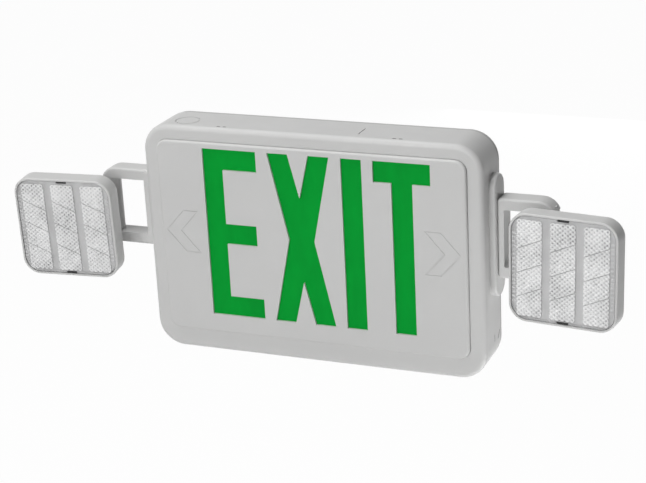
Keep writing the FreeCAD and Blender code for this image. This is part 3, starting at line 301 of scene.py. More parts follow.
class Finish:
    """The nodes that make one material, or the world's surround."""

    def __init__(self, owner):
        self.owner = owner
        owner.use_nodes = True
        self.nodes = owner.node_tree.nodes
        self.links = owner.node_tree.links
        self.nodes.clear()

    @property
    def place(self):
        """Object coordinates."""
        return self.out(self.node("TexCoord"), "Object")

    def seen_directly(self):
        """One for camera, mirror and glass rays, and zero for soft light."""
        path = self.node("LightPath")
        straight = self.out(path, "Is Camera Ray").maths(
            "MAXIMUM", self.out(path, "Is Glossy Ray"))
        return straight.maths("MAXIMUM", self.out(path, "Is Transmission Ray"))

    def node(self, kind, settings=None, sockets=None):
        """Add a node, set it up, then give its sockets their values or links."""
        made = self.nodes.new("ShaderNode" + kind)
        for key, setting in (settings or {}).items():
            if key == "stops":
                ramp = made.color_ramp
                for spot, colour in setting[2:]:
                    ramp.elements.new(spot).color = colour
                for k, (spot, colour) in enumerate(setting[:2]):
                    ramp.elements[-k].position = spot
                    ramp.elements[-k].color = colour
            else:
                setattr(made, key, setting)
        for key, value in (sockets or {}).items():
            if isinstance(value, Value):
                self.links.new(value.socket, made.inputs[key])
            else:
                made.inputs[key].default_value = value
        return made

    def out(self, made, socket=0):
        return Value(self, made.outputs[socket])

    def noise(self, scale, detail=3.0, rough=0.5, stretch=None):
        """Even noise about one half, of a given number of grains in a metre."""
        where = self.place
        if stretch:
            where = self.out(self.node("Mapping", None, {0: where, "Scale": stretch}))
        made = self.node("TexNoise", None, {
            "Vector": where, "Scale": scale, "Detail": detail, "Roughness": rough})
        return self.out(made)

    def mix(self, mask, first, second):
        """Blend two colours."""
        made = self.node("Mix", {"data_type": "RGBA"}, {0: mask, 6: first, 7: second})
        return self.out(made, 2)

    def range(self, value, low, high, new_low, new_high):
        made = self.node("MapRange", None, {
            0: value, 1: low, 2: high, 3: new_low, 4: new_high})
        return self.out(made)

    def bump(self, height, distance, strength=1.0, normal=None):
        """Surface relief whose height is in metres."""
        sockets = {"Height": height, "Distance": distance, "Strength": strength}
        if normal is not None:
            sockets["Normal"] = normal
        return self.out(self.node("Bump", None, sockets))

    def surface(self, **sockets):
        """Finish with a Principled shader; underscores stand for spaces."""
        named = {key.replace("_", " "): value for key, value in sockets.items()}
        shader = self.node("BsdfPrincipled", None, named)
        self.node("OutputMaterial", None, {"Surface": self.out(shader)})
        return self.owner


def shade(colour, factor):
    """A colour made lighter or darker."""
    return tuple(min(1.0, part * factor) for part in colour[:3]) + (1.0,)


# ---------------------------------------------------------------------------
# Settings
# ---------------------------------------------------------------------------
def length(name, text, value):
    return FloatProperty(name=name, description=text, default=value, unit="NONE", precision=2)


def colour(name, text, value):
    return FloatVectorProperty(
        name=name, description=text, default=value, subtype="COLOR", size=3, min=0, max=1)


class ExitLightStageSettings(bpy.types.PropertyGroup):
    azimuth: length("Azimuth", "Camera's turn to the right of the front, degrees", 23.03)
    elevation: length("Elevation", "Camera's height above level, degrees", 19.95)
    roll: length("Roll", "Camera's roll, degrees", -2.94)
    distance: length("Distance", "Camera to the point it looks at, metres", 1.5557)
    focal: length("Focal length", "Camera's focal length, millimetres", 97.36)
    floor_drop: length("Floor", "Floor below the light's lowest point, millimetres", 300.0)
    floor_size: length("Floor size", "Width of the floor, metres", 6.0)
    floor_glow: length("Floor glow", "Share of the floor that shows as plain white", 0.97)
    key_power: length("Key light", "Power of the large light at the front left, watts", 29.0)
    top_power: length("Top light", "Power of the overhead light, watts", 29.0)
    fill_power: length("Fill light", "Power of the low light in front, watts", 4.5)
    side_power: length("Side light", "Power of the low light at the front right, watts", 0.25)
    under_power: length("Under light", "Power of the small light under the right lamp, watts", 0.75)
    back_power: length("Back light", "Power of the light behind, watts", 9.0)
    ambient: length("Ambient", "Level of the light from all round", 0.04)


class ExitLightLegendSettings(bpy.types.PropertyGroup):
    low: length("Bottom", "Letters' lower edge from the housing's centre, millimetres", -69.17)
    high: length("Top", "Letters' upper edge from the housing's centre, millimetres", 88.1)
    stroke: length("Stroke", "Width of the letters' strokes, millimetres", 19.05)
    arrow_tip: length("Arrow tip", "Arrow outline's tip from the centre, millimetres", 138.7)
    arrow_wing: length("Arrow wing", "Arrow outline's outer ends from the centre", 121.0)
    arrow_root: length("Arrow root", "Arrow outline's inner ends from the centre", 107.0)
    arrow_half: length("Arrow half height", "Arrow outline's half height, millimetres", 19.5)
    arrow_rise: length("Arrow height", "Arrow outline's centre above the housing's", 9.0)
    arrow_notch: length("Arrow notch", "Arrow outline's inner corner from the centre", 124.7)
    short_arm: length("Short arm", "How much shorter the E's middle arm is, millimetres", 3.2)
    groove: length("Groove", "Width of the arrow outline's groove, millimetres", 0.8)
    groove_depth: length("Groove depth", "Depth of that groove, millimetres", 0.5)


class ExitLightLensSettings(bpy.types.PropertyGroup):
    columns: IntProperty(name="Columns", description="Optic columns in a lens", default=3)
    rows: IntProperty(name="Rows", description="Optic cells in a column", default=4)
    pitch: length("Column pitch", "Optic columns' spacing, millimetres", 29.2)
    width: length("Column width", "Optic column's width, millimetres", 21.8)
    height: length("Column height", "Optic column's height, millimetres", 84.0)
    corner: length("Corner", "Optic column's corner radius, millimetres", 2.4)
    prism_width: length("Prism width", "Width of a small prism, millimetres", 4.4)
    prism_height: length("Prism height", "Height of a small prism, millimetres", 3.8)
    prism_base: length("Prism base", "Height of the creases, share of the prisms' height", 0.4)
    slant: length("Slant", "Slant of the lines between cells, degrees", 24.0)
    seam: length("Seam", "Width of the lines between cells, millimetres", 0.7)
    ribs: IntProperty(name="Ribs", description="Small ribs down each side margin", default=17)
    rib_pitch: length("Rib pitch", "Spacing of those ribs, millimetres", 3.7)
    rib_width: length("Rib width", "Width of one rib, millimetres", 3.0)
    rib_height: length("Rib height", "Height of one rib, millimetres", 1.5)
    sheet_span: length("Sheet span", "Prism sheet's size before trimming, in column heights", 2.3)
    sheet_sunk: length("Sheet sunk", "Prism sheet's edge below the lens face", 0.03)
    flat_margin: length("Flat margin", "Depth by which a raised face is told", 0.02)
    rib_relief: length("Rib relief", "How far a rib stands out, millimetres", 0.5)


class ExitLightRecessSettings(bpy.types.PropertyGroup):
    # The dark inserts laid in these slots, and the plates behind the lens notches, are painted
    # shade for those recesses.
    latch_x: length("Latch place", "Latch slots' centre from the middle, millimetres", 82.0)
    latch_depth: length("Latch depth", "Latch slots' centre from the wall, millimetres", 44.0)
    latch_length: length("Latch length", "Length of one half of a latch slot", 3.5)
    latch_gap: length("Latch gap", "Centres of the two halves, millimetres apart", 5.9)
    latch_width: length("Latch width", "Width of a latch slot, millimetres", 1.8)
    hook_depth: length("Hook depth", "Slanted slot's centre from the wall, millimetres", 11.25)
    hook_drop: length("Hook drop", "Slanted slot's centre below the middle", 76.5)
    hook_length: length("Hook length", "Length of the slanted slot, millimetres", 8.9)
    hook_width: length("Hook width", "Width of the slanted slot, millimetres", 1.1)
    hook_slant: length("Hook slant", "Turn of the slanted slot, degrees", 38.0)
    line_depth: length("Line depth", "Upright line's centre from the wall", 23.8)
    line_drop: length("Line drop", "Upright line's centre below the middle", 75.85)
    line_length: length("Line length", "Length of the upright line, millimetres", 7.1)
    line_width: length("Line width", "Width of the upright line, millimetres", 0.9)
    # A lens catch here is a thin dark plate behind a lens notch, painting the shade of the gap
    # there.
    notch_shade_width: length("Catch width", "Width of a lens catch, millimetres", 10.2)
    notch_shade_height: length("Catch height", "Height of a lens catch, millimetres", 2.0)
    notch_shade_sunk: length("Catch sunk", "Lens catches behind the lens front, millimetres", 2.2)
    notch_shade_thick: length("Catch thickness", "Thickness of a lens catch, millimetres", 0.8)
    slack: length("Slack", "Insert's length and width less than the slot's", 0.05)
    latch_deep: length("Latch recess", "Depth of a latch slot, millimetres", 2.0)
    mark_deep: length("Mark recess", "Depth of the side slots, millimetres", 0.9)
    sunk: length("Sunk", "Dark inserts' faces below the surface, millimetres", 0.15)


class ExitLightScrewSettings(bpy.types.PropertyGroup):
    aside: length("Aside", "Clamp screws' distance from the pan axis, millimetres", 10.9)
    spread: length("Spread", "Clamp screws' height above and below the middle", 14.0)
    cross: length("Cross", "Width of the cross recess, millimetres", 3.0)
    slot: length("Cross slot", "Width of each slot of the cross, millimetres", 0.7)
    deep: length("Cross depth", "Depth of the cross recess, millimetres", 1.0)


class ExitLightColours(bpy.types.PropertyGroup):
    housing: colour("Housing", "Moulded housing plastic", (0.60, 0.60, 0.595))
    back: colour("Back plate", "Back plate plastic", (0.50, 0.50, 0.495))
    legend: colour("Legend", "Legend's coloured sheet", (0.0, 0.285, 0.028))
    lens: colour("Lens", "Clear lens plastic", (0.87, 0.87, 0.875))


# ---------------------------------------------------------------------------
# Finishes
# ---------------------------------------------------------------------------
def moulded_plastic(name, tint, grain=0.000012, rough=0.42):
    """Satin moulded plastic: fine grain, a slight drift of tone and of gloss."""
    finish = Finish(bpy.data.materials.new(name))
    drift = finish.noise(9.0, 3.0)
    speck = finish.noise(1400.0, 2.0)
    tone = finish.range(drift, 0.3, 0.7, 0.0, 1.0) * 0.6 + speck * 0.4
    relief = finish.noise(2600.0, 2.0) * 0.6 + finish.noise(700.0, 2.0) * 0.4
    return finish.surface(
        Base_Color=finish.mix(tone, shade(tint, 0.965), shade(tint, 1.035)),
        Roughness=finish.range(finish.noise(60.0), 0.3, 0.7, rough - 0.05, rough + 0.06),
        Specular_IOR_Level=0.4,
        Normal=finish.bump(relief, grain))


def coloured_sheet(name, tint):
    """Coloured legend film behind the apertures, with a faint streaky tone and a faint painted glow
    """
    finish = Finish(bpy.data.materials.new(name))
    streak = finish.noise(60.0, 3.0, 0.6, (1.0, 1.0, 0.35))
    speck = finish.noise(900.0, 2.0)
    tone = finish.range(streak, 0.3, 0.7, 0.0, 1.0) * 0.7 + speck * 0.3
    return finish.surface(
        Base_Color=finish.mix(tone, shade(tint, 0.9), shade(tint, 1.1)),
        Roughness=finish.range(speck, 0.3, 0.7, 0.38, 0.5),
        # The emission is a faint painted glow that evens out the green; no lamp in the scene lights
        # the sheet.
        Emission_Color=finish.mix(tone, shade(tint, 0.9), shade(tint, 1.1)),
        Emission_Strength=0.12,
        Specular_IOR_Level=0.06,
        Normal=finish.bump(speck, 0.00001))


def clear_plastic(name, tint, alpha=0.45):
    """Clear moulded lens plastic, with faint flow marks."""
    finish = Finish(bpy.data.materials.new(name))
    flow = finish.noise(120.0, 3.0, 0.5, (1.0, 1.0, 0.3))
    return finish.surface(
        Base_Color=finish.mix(flow, shade(tint, 0.95), shade(tint, 1.03)),
        Roughness=finish.range(flow, 0.3, 0.7, 0.06, 0.14),
        Alpha=finish.range(flow, 0.3, 0.7, alpha - 0.04, alpha + 0.04),
        IOR=1.5,
        Normal=finish.bump(flow, 0.00002))


def prism_plastic(name, tint, shadow):
    """Small lens prisms with painted light: painted highlight on their crests, painted shade at the
    corners between them
    """
    finish = Finish(bpy.data.materials.new(name))
    crest = finish.out(finish.node("Attribute", {"attribute_name": "crest"}), "Fac")
    glint = finish.out(finish.node("Attribute", {"attribute_name": "glint"}), "Fac")
    haze = finish.range(finish.noise(38.0, 2.0), 0.35, 0.65, 0.0, 1.0)
    # Painted light: painted shade at the prisms' corners, painted highlight on their crests and
    # random painted glints, softened by a random haze; the same level thins the alpha.
    level = crest * 0.52 + glint * 0.26 + haze * 0.22
    tone = finish.node("ValToRGB", {"stops": (
        (0.08, shadow), (0.88, (1.0, 1.0, 1.0, 1.0)), (0.36, shade(tint, 0.72)), (0.6, tint))},
        {0: level})
    return finish.surface(
        Base_Color=finish.out(tone),
        Roughness=finish.range(glint, 0.0, 1.0, 0.08, 0.3),
        Alpha=finish.range(level, 0.0, 1.0, 0.96, 0.86),
        IOR=1.5,
        Normal=finish.bump(haze, 0.00002))


def mirror_white(name):
    """White reflector with a bright metallized film."""
    finish = Finish(bpy.data.materials.new(name))
    haze = finish.noise(160.0, 3.0)
    return finish.surface(
        Base_Color=finish.mix(haze, (0.82, 0.82, 0.83, 1), (0.95, 0.95, 0.96, 1)),
        Metallic=0.35,
        Roughness=finish.range(haze, 0.3, 0.7, 0.18, 0.3),
        Normal=finish.bump(finish.noise(900.0, 2.0), 0.00001))


def printed_board(name, tint, track):
    """Printed circuit board: solder mask over faint square tracks."""
    finish = Finish(bpy.data.materials.new(name))
    cells = finish.node("TexBrick", {"offset": 0.5}, {
        "Vector": finish.place, "Scale": 120.0, "Color1": tint, "Color2": shade(tint, 0.85),
        "Mortar": track, "Mortar Size": 0.03})
    speck = finish.noise(700.0, 2.0)
    return finish.surface(
        Base_Color=finish.out(cells), Roughness=finish.range(speck, 0.3, 0.7, 0.25, 0.42),
        Normal=finish.bump(speck, 0.00002))


def phosphor(name):
    """Lamp chip: a pale yellow phosphor window in a white case."""
    finish = Finish(bpy.data.materials.new(name))
    speck = finish.noise(2500.0, 2.0)
    return finish.surface(
        Base_Color=finish.mix(speck, (0.95, 0.86, 0.45, 1), (0.98, 0.93, 0.62, 1)),
        Roughness=finish.range(speck, 0.3, 0.7, 0.35, 0.5),
        Normal=finish.bump(speck, 0.00002))


def metal(name, tint, rough, scale=300.0, stretch=(1.0, 1.0, 1.0)):
    """Plated steel with fine working marks."""
    finish = Finish(bpy.data.materials.new(name))
    mark = finish.noise(scale, 4.0, 0.6, stretch)
    return finish.surface(
        Base_Color=finish.mix(mark, shade(tint, 0.86), shade(tint, 1.1)),
        Metallic=1.0,
        Roughness=finish.range(mark, 0.3, 0.7, rough - 0.08, rough + 0.1),
        Normal=finish.bump(mark, 0.00002))


def wrapped_film(name, tint):
    """Shrink film over the battery cells, with soft wrinkles."""
    finish = Finish(bpy.data.materials.new(name))
    wrinkle = finish.noise(90.0, 5.0, 0.6, (1.0, 1.0, 0.25))
    return finish.surface(
        Base_Color=finish.mix(wrinkle, shade(tint, 0.8), shade(tint, 1.25)),
        Roughness=finish.range(wrinkle, 0.3, 0.7, 0.25, 0.45),
        Coat_Weight=0.3,
        Normal=finish.bump(wrinkle, 0.0003))


# ---------------------------------------------------------------------------
# Operators
# ---------------------------------------------------------------------------
class EXITLIGHT_OT_finishes(bpy.types.Operator):
    """Give every CAD node its moulded, printed or plated finish"""

    bl_idname = "exitlight.finishes"
    bl_label = "Finish the CAD nodes"

    def execute(self, context):
        tints = context.scene.exitlight_colours
        FINISHES.update({
            "housing_plastic": moulded_plastic("housing_plastic", tints.housing),
            "back_plastic": moulded_plastic("back_plastic", tints.back, rough=0.5),
            "legend_green": coloured_sheet("legend_green", tints.legend),
            "lens_clear": clear_plastic("lens_clear", tints.lens),
            # The dark colour is the painted shade at the prisms' corners and along the lines
            # between cells.
            "lens_prisms": prism_plastic(
                "lens_prisms", shade(tints.lens, 0.96), (0.10, 0.10, 0.105, 1)),
            "reflector_white": mirror_white("reflector_white"),
            "circuit_board": printed_board(
                "circuit_board", (0.01, 0.10, 0.03, 1), (0.03, 0.20, 0.07, 1)),
            "white_board": printed_board(
                "white_board", (0.75, 0.75, 0.73, 1), (0.55, 0.55, 0.52, 1)),
            "lamp_chip": phosphor("lamp_chip"),
            "transformer_steel": metal(
                "transformer_steel", (0.30, 0.30, 0.31, 1), 0.45, 900.0, (1.0, 6.0, 1.0)),
            "battery_sleeve": wrapped_film("battery_sleeve", (0.02, 0.16, 0.30, 1)),
            "strap_steel": metal("strap_steel", (0.55, 0.55, 0.54, 1), 0.35),
            "screw_steel": metal("screw_steel", (0.62, 0.62, 0.60, 1), 0.3, 900.0),
            "terminal_plastic": moulded_plastic("terminal_plastic", (0.55, 0.53, 0.46)),
            "button_plastic": moulded_plastic("button_plastic", (0.45, 0.45, 0.44), rough=0.35),
            "status_lens": clear_plastic("status_lens", (0.75, 0.05, 0.03), 0.85),
            "switch_plastic": moulded_plastic("switch_plastic", (0.02, 0.02, 0.02)),
        })
        for name, obj in frame["nodes"].items():
            for holder in obj.material_slots:
                holder.material = FINISHES[holder.material.name.split(".")[0]]
            if not obj.material_slots:
                raise RuntimeError("no slot on " + name)
        return {"FINISHED"}


class EXITLIGHT_OT_legend_panel(bpy.types.Operator):
    """Cut the exit legend and the faint arrow outlines in the face plate"""

    bl_idname = "exitlight.legend_panel"
    bl_label = "Legend panel"

    def letters(self, how):
        """Outlines of the letters, corner by corner, in millimetres."""
        low, high, stroke = how.low, how.high, how.stroke
        middle = (low + high) / 2
        e_left, e_right = -98.85, -47.24
        e_arm = e_right - how.short_arm
        x_left, x_right, x_arm = -36.5, 21.6, 19.4
        x_mid, x_waist = (x_left + x_right) / 2, 12.05
        notch = 39.5
        i_left = 32.2
        t_left, t_right, t_stem = 61.4, 113.0, 77.8
        return (
            (
                (e_left, low), (e_right, low), (e_right, low + stroke),
                (e_left + stroke, low + stroke),
                (e_left + stroke, middle - stroke / 2), (e_arm, middle - stroke / 2),
                (e_arm, middle + stroke / 2), (e_left + stroke, middle + stroke / 2),
                (e_left + stroke, high - stroke), (e_right, high - stroke), (e_right, high),
                (e_left, high),
            ),
            (
                (x_left, low), (x_left + x_arm, low), (x_mid, middle - notch),
                (x_right - x_arm, low), (x_right, low), (x_mid + x_waist, middle),
                (x_right, high), (x_right - x_arm, high), (x_mid, middle + notch),
                (x_left + x_arm, high), (x_left, high), (x_mid - x_waist, middle),
            ),
            ((i_left, low), (i_left + stroke, low), (i_left + stroke, high), (i_left, high)),
            (
                (t_stem, low), (t_stem + stroke, low), (t_stem + stroke, high - stroke),
                (t_right, high - stroke), (t_right, high), (t_left, high),
                (t_left, high - stroke), (t_stem, high - stroke),
            ),
        )

    def bar(self, start, end, width):
        """Outline of a straight groove between two points."""
        along = (Vector(end) - Vector(start)).normalized()
        side = Vector((-along.y, along.x)) * width / 2
        reach = along * width / 2
        first, last = Vector(start) - reach, Vector(end) + reach
        return (first - side, last - side, last + side, first + side)

    def execute(self, context):
        how = context.scene.exitlight_legend
        panel = copy_of("face_plate", "legend_panel")
        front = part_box("face_plate")[0].y
        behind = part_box("legend_diffuser")[0].y
        for outline in self.letters(how):
            corners = [(x * MM, z * MM) for x, z in outline]
            carve(panel, prism(corners, front - MM, behind + 0.2 * MM))
        rise, half = how.arrow_rise, how.arrow_half
        ring = (
            (how.arrow_tip, rise), (how.arrow_wing, rise + half), (how.arrow_root, rise + half),
            (how.arrow_notch, rise),
            (how.arrow_root, rise - half), (how.arrow_wing, rise - half),
        )
        for sign in (-1, 1):
            for k, start in enumerate(ring):
                end = ring[(k + 1) % len(ring)]
                outline = self.bar(
                    (sign * start[0], start[1]), (sign * end[0], end[1]), how.groove)
                corners = [(x * MM, z * MM) for x, z in outline]
                carve(panel, prism(corners, front - MM, front + how.groove_depth * MM))
        soften(panel)
        fit(panel, "housing", "housing_plastic", "face_plate")
        return {"FINISHED"}


class EXITLIGHT_OT_lenses(bpy.types.Operator):
    """Make both lamp lenses, with columns of small prisms in slanted cells"""

    bl_idname = "exitlight.lenses"
    bl_label = "Lamp lenses"

    def column(self, how, plate, front, slant):
        """One sheet of small prisms, drawn about the column's middle, facing -Y."""
        across = int(how.height * how.sheet_span / how.prism_width)
        cuts = 2 * across
        bpy.ops.object.select_all(action="DESELECT")
        bpy.ops.mesh.primitive_grid_add(x_subdivisions=cuts, y_subdivisions=cuts, size=1.0)
        obj = bpy.context.active_object
        dice = Random(5)
        crest = obj.data.attributes.new("crest", "FLOAT", "POINT")
        glint = obj.data.attributes.new("glint", "FLOAT", "POINT")
        # A point's crest level sets both the prism's height and its painted light; the glint is a
        # random painted sparkle.
        for k, vertex in enumerate(obj.data.vertices):
            odd = [round((part + 0.5) * cuts) % 2 for part in vertex.co[:2]]
            crest.data[k].value = CREST_AND_SHADE_LEVELS[sum(odd)]
            glint.data[k].value = dice.random()
        side = across * MM / 2 ** 0.5
        size = Matrix.Diagonal((side * how.prism_width, side * how.prism_height, 1, 1))
        face_on = Matrix.Rotation(pi / 2, 4, "X")
        turn = Matrix.Rotation(pi / 4, 4, "Z")
        settle(obj, Matrix.Translation((0, plate, 0)) @ face_on @ size @ turn)
        edit(obj)
        for x, z, angle in self.outline(how):
            bpy.ops.mesh.select_all(action="SELECT")
            bpy.ops.mesh.bisect(
                plane_co=(x * MM, plate, z * MM),
                plane_no=(cos(angle), 0, sin(angle)), clear_outer=True)
        lean = radians(slant)
        levels = [(k / how.rows - 0.5) * how.height * cos(lean) for k in range(1, how.rows)]
        for level in levels:
            for edge in (level - how.seam / 2, level + how.seam / 2):
                bpy.ops.mesh.select_all(action="SELECT")
                bpy.ops.mesh.bisect(
                    plane_co=(-sin(lean) * edge * MM, plate, cos(lean) * edge * MM),
                    plane_no=(-sin(lean), 0, cos(lean)))
        close(obj)

        def from_seam(point):
            away = (point.z * cos(lean) - point.x * sin(lean)) / MM
            return min(abs(away - level) for level in levels)

        edit(obj, lambda face: from_seam(face.center) < how.seam / 2)
        bpy.ops.mesh.delete(type="FACE")
        close(obj)
        if sum(face.normal.y for face in obj.data.polygons) > 0:
            edit(obj)
            bpy.ops.mesh.flip_normals()
            close(obj)
        crest = obj.data.attributes["crest"].data
        step = (front - plate) * how.prism_base
        for k, vertex in enumerate(obj.data.vertices):
            vertex.co.y = plate + step + (front - plate - step) * crest[k].value
        edit(obj)
        bpy.ops.mesh.select_mode(type="EDGE")
        bpy.ops.mesh.select_all(action="DESELECT")
        bpy.ops.mesh.select_non_manifold()
        bpy.ops.mesh.extrude_edges_move()
        bpy.ops.object.mode_set(mode="OBJECT")
        # The edges dropped to the plate get the darkest level: painted shade along the columns'
        # edges and the lines between cells.
        crest = obj.data.attributes["crest"].data
        for k, vertex in enumerate(obj.data.vertices):
            if vertex.select:
                vertex.co.y = plate
                crest[k].value = 0.0
        return obj

    def outline(self, how):
        """Cutting lines about a column, as a point in millimetres and an outward angle."""
        half_w, half_h, radius = how.width / 2, how.height / 2, how.corner
        lines = [(half_w, 0, 0), (0, half_h, pi / 2), (-half_w, 0, pi), (0, -half_h, -pi / 2)]
        for quarter in range(4):
            x = (half_w - radius) * (1, -1, -1, 1)[quarter]
            z = (half_h - radius) * (1, 1, -1, -1)[quarter]
            for step in (22.5, 45, 67.5):
                angle = radians(90 * quarter + step)
                lines.append((x + radius * cos(angle), z + radius * sin(angle), angle))
        return lines

    def plate(self, how, tag, inverse, front):
        """The lens without its CAD columns, closed flat where they stood."""
        lens = copy_of("head_lens_" + tag, "lens_" + tag)
        level = front + flat_behind(lens, inverse, front)

        def raised(face):
            return (inverse @ face.center).y < level - how.flat_margin * MM

        edit(lens, raised)
        bpy.ops.mesh.delete(type="FACE")
        bpy.ops.mesh.select_all(action="DESELECT")
        bpy.ops.mesh.select_mode(type="EDGE")
        bpy.ops.mesh.select_non_manifold(extend=False)
        bpy.ops.mesh.fill_holes(sides=0)
        close(lens, outward=True)
        return lens, level

    def execute(self, context):
        how = context.scene.exitlight_lens
        for tag, side in SIDES:
            place = head_place(tag)
            inverse = place.inverted()
            low, high = extent("head_lens_" + tag, inverse)
            lens, level = self.plate(how, tag, inverse, low.y)
            soften(lens)
            fit(lens, tag + "_head", "lens_clear", "head_lens_" + tag)

            sunk = level - how.sheet_sunk * MM
            sheet = self.column(how, sunk, low.y, how.slant * side)
            columns = []
            for k in range(how.columns):
                columns.append(twin(sheet))
                shift = (k - (how.columns - 1) / 2) * how.pitch * MM
                settle(columns[-1], place @ Matrix.Translation((shift, 0, 0)))
            bpy.data.objects.remove(sheet)
            optics = join(columns, "lens_prisms_" + tag)
            fit(optics, tag + "_head", "lens_clear", finish="lens_prisms")

            width, height = how.rib_width / 2, how.rib_height / 2
            corners = ((-width, -height), (width, -height), (width, height), (-width, height))
            rib = prism([(x * MM, z * MM) for x, z in corners], level - how.rib_relief * MM, level)
            edge = (how.pitch * (how.columns - 1) + how.width) / 2
            middle = (edge + high.x / MM) / 2
            ribs = []
            for sign in (-1, 1):
                for k in range(how.ribs):
                    ribs.append(twin(rib))
                    rise = (k - (how.ribs - 1) / 2) * how.rib_pitch * MM
                    settle(ribs[-1], place @ Matrix.Translation((sign * middle * MM, 0, rise)))
            bpy.data.objects.remove(rib)
            fit(join(ribs, "lens_ribs_" + tag), tag + "_head", "lens_clear")
        return {"FINISHED"}


class EXITLIGHT_OT_recesses(bpy.types.Operator):
    """Lay dark plates in the latch and side slots and behind the lens notches: painted shade for
    those recesses
    """

    bl_idname = "exitlight.recesses"
    bl_label = "Slots and catches"

    def strip(self, length, width, thick, place):
        """A round-ended strip along X, its back on the plane Y = 0, moved to a place."""
        corners = []
        for side, turn in ((1, -pi / 2), (-1, pi / 2)):
            for step in range(5):
                angle = turn + step * pi / 4
                corners.append((
                    side * (length - width) / 2 + cos(angle) * width / 2,
                    sin(angle) * width / 2))
        piece = prism([(x * MM, z * MM) for x, z in corners], -thick * MM, 0)
        return settle(piece, place)

    def execute(self, context):
        how = context.scene.exitlight_recesses
        low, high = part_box("housing")
        # Dark strips just under the slots' mouths stand in for the shade inside the latch slots and
        # side slots: painted shade.
        pieces = []
        up = Matrix.Rotation(-pi / 2, 4, "X")
        for side in (-1, 1):
            for half in (-1, 1):
                x = side * how.latch_x + half * how.latch_gap / 2
                spot = Vector((x, -how.latch_depth, 0)) * MM
                spot.z = high.z - how.latch_deep * MM
                pieces.append(self.strip(
                    how.latch_length - how.slack, how.latch_width - how.slack,
                    how.latch_deep - how.sunk, Matrix.Translation(spot) @ up))
            out = Matrix.Rotation(side * pi / 2, 4, "Z")
            edge = (high if side > 0 else low).x - side * how.mark_deep * MM
            for depth, drop, long, wide, turn in (
                (how.hook_depth, how.hook_drop, how.hook_length, how.hook_width, how.hook_slant),
                (how.line_depth, how.line_drop, how.line_length, how.line_width, 0.0),
            ):
                spot = Vector((edge, -depth * MM, -drop * MM))
                lean = Matrix.Rotation(pi / 2 + side * radians(turn), 4, "Y")
                pieces.append(self.strip(
                    long - how.slack, wide - how.slack, how.mark_deep - how.sunk,
                    Matrix.Translation(spot) @ out @ lean))
        fit(join(pieces, "slot_floors"), "housing", "switch_plastic")
        # A thin dark plate behind each lens notch stands in for the shade in the gap: painted
        # shade.
        for tag, _ in SIDES:
            place = head_place(tag)
            low, high = extent("head_lens_" + tag, place.inverted())
            rise = high.z - how.notch_shade_height * MM / 2
            notch_shades = []
            for sign in (-1, 1):
                spot = Vector((0, low.y + how.notch_shade_sunk * MM, sign * rise))
                notch_shades.append(self.strip(
                    how.notch_shade_width, how.notch_shade_height, how.notch_shade_thick,
                    place @ Matrix.Translation(spot)))
            fit(join(notch_shades, "lens_catches_" + tag), tag + "_head", "switch_plastic")
        return {"FINISHED"}


class EXITLIGHT_OT_screws(bpy.types.Operator):
    """Cut the cross recesses in the screws that clamp each swivel"""

    bl_idname = "exitlight.screws"
    bl_label = "Clamp screws"

    def execute(self, context):
        how = context.scene.exitlight_screws
        wide, reach = how.slot / 2, how.cross / 2
        corners = []
        for quarter in range(4):
            for x, z in ((reach, -wide), (reach, wide), (wide, wide)):
                spun = Matrix.Rotation(quarter * pi / 2, 2) @ Vector((x, z))
                corners.append(spun * MM)
        for tag, side in SIDES:
            place = swivel_place(tag)
            screws = copy_of("clamp_screws_" + tag, "screws_" + tag)
            face = extent("clamp_screws_" + tag, place.inverted())[1].y
            for end in (-1, 1):
                cutter = prism(corners, face - how.deep * MM, face + MM)
                spot = Vector((side * how.aside, 0, end * how.spread)) * MM
                carve(screws, settle(cutter, place @ Matrix.Translation(spot)))
            soften(screws)
            fit(screws, tag + "_swivel", "screw_steel", "clamp_screws_" + tag)
        return {"FINISHED"}


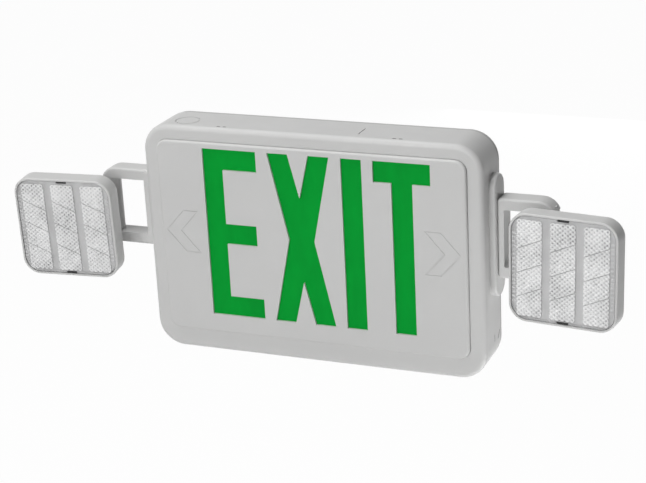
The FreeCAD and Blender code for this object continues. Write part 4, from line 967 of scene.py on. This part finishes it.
class EXITLIGHT_OT_stage(bpy.types.Operator):
    """Set the floor, the soft lights, the white surround and the camera"""

    bl_idname = "exitlight.stage"
    bl_label = "Stage"

    def lamp(self, context, name, power, size, spot, aim):
        """Hang one round soft lamp."""
        lamp = bpy.data.lights.new(name, "AREA")
        lamp.energy = power
        lamp.shape = "DISK"
        lamp.size = size
        obj = bpy.data.objects.new(name, lamp)
        obj.location = spot
        obj.rotation_euler = (Vector(aim) - Vector(spot)).to_track_quat("-Z", "Y").to_euler()
        context.scene.collection.objects.link(obj)

    def floor(self, how):
        """Lay the pale floor, which shows as the surround and takes the shadow."""
        bpy.ops.object.select_all(action="DESELECT")
        level = CAD_BOUNDS[0][2] - how.floor_drop * MM
        bpy.ops.mesh.primitive_plane_add(size=how.floor_size, location=(0, 0, level))
        floor = bpy.context.active_object
        floor.name = "floor"
        paper = Finish(bpy.data.materials.new("floor_paper"))
        fibre = paper.noise(40.0, 4.0)
        matt = paper.node("BsdfPrincipled", None, {
            "Base Color": paper.mix(fibre, (0.80, 0.80, 0.80, 1), (0.84, 0.84, 0.84, 1)),
            "Roughness": 0.9})
        glow = paper.node("Emission", None, {"Color": WHITE, "Strength": 1.0})
        blend = paper.node("MixShader", None, {
            0: paper.seen_directly() * how.floor_glow, 1: paper.out(matt), 2: paper.out(glow)})
        paper.node("OutputMaterial", None, {"Surface": paper.out(blend)})
        floor.data.materials.append(paper.owner)

    def surround(self, context, how):
        """White where it is seen, and a low even light elsewhere."""
        context.scene.world = bpy.data.worlds.new("surround")
        sky = Finish(context.scene.world)
        soft = sky.node("Background", None, {"Color": WHITE, "Strength": how.ambient})
        white = sky.node("Background", None, {"Color": WHITE, "Strength": 1.0})
        blend = sky.node("MixShader", None, {
            0: sky.seen_directly(), 1: sky.out(soft), 2: sky.out(white)})
        sky.node("OutputWorld", None, {"Surface": sky.out(blend)})

    def execute(self, context):
        how = context.scene.exitlight_stage
        self.floor(how)
        self.surround(context, how)
        for name, power, size, spot, aim in LAMPS:
            self.lamp(context, name, getattr(how, power), size, spot, aim)

        turn, rise = radians(how.azimuth), radians(how.elevation)
        camera = bpy.data.cameras.new("camera")
        camera.lens = how.focal
        camera.sensor_width = 36.0
        camera.clip_start = 0.05
        view = bpy.data.objects.new("camera", camera)
        facing = Matrix.Rotation(turn, 4, "Z") @ Matrix.Rotation(pi / 2 - rise, 4, "X")
        back = Vector((sin(turn) * cos(rise), -cos(turn) * cos(rise), sin(rise)))
        rolled = facing @ Matrix.Rotation(radians(how.roll), 4, "Z")
        spot = Vector(MIDDLE) + back * how.distance
        view.matrix_world = Matrix.Translation(spot) @ rolled
        context.scene.collection.objects.link(view)
        context.scene.camera = view
        context.scene.view_settings.view_transform = "Standard"
        return {"FINISHED"}


class EXITLIGHT_PT_panel(bpy.types.Panel):
    """The exit light's pieces and finishes"""

    bl_idname = "EXITLIGHT_PT_panel"
    bl_label = "Exit Light"
    bl_space_type = "VIEW_3D"
    bl_region_type = "UI"
    bl_category = "Exit Light"

    def draw(self, context):
        for operator in OPERATORS:
            self.layout.operator(operator.bl_idname)
        for name in SETTINGS:
            group = getattr(context.scene, name)
            for prop in group.bl_rna.properties.keys():
                if prop not in ("rna_type", "name"):
                    self.layout.prop(group, prop)


OPERATORS = (
    EXITLIGHT_OT_stage,
    EXITLIGHT_OT_finishes,
    EXITLIGHT_OT_legend_panel,
    EXITLIGHT_OT_lenses,
    EXITLIGHT_OT_recesses,
    EXITLIGHT_OT_screws,
)
SETTINGS = {
    "exitlight_stage": ExitLightStageSettings,
    "exitlight_legend": ExitLightLegendSettings,
    "exitlight_lens": ExitLightLensSettings,
    "exitlight_recesses": ExitLightRecessSettings,
    "exitlight_screws": ExitLightScrewSettings,
    "exitlight_colours": ExitLightColours,
}


def register():
    for made in (*SETTINGS.values(), *OPERATORS, EXITLIGHT_PT_panel):
        bpy.utils.register_class(made)
    for name, group in SETTINGS.items():
        setattr(bpy.types.Scene, name, PointerProperty(type=group))


def unregister():
    for name in SETTINGS:
        delattr(bpy.types.Scene, name)
    for made in reversed((*SETTINGS.values(), *OPERATORS, EXITLIGHT_PT_panel)):
        bpy.utils.unregister_class(made)


def main():
    register()
    for operator in OPERATORS:
        group, name = operator.bl_idname.split(".")
        getattr(getattr(bpy.ops, group), name)()


if __name__ == "__main__":
    main()
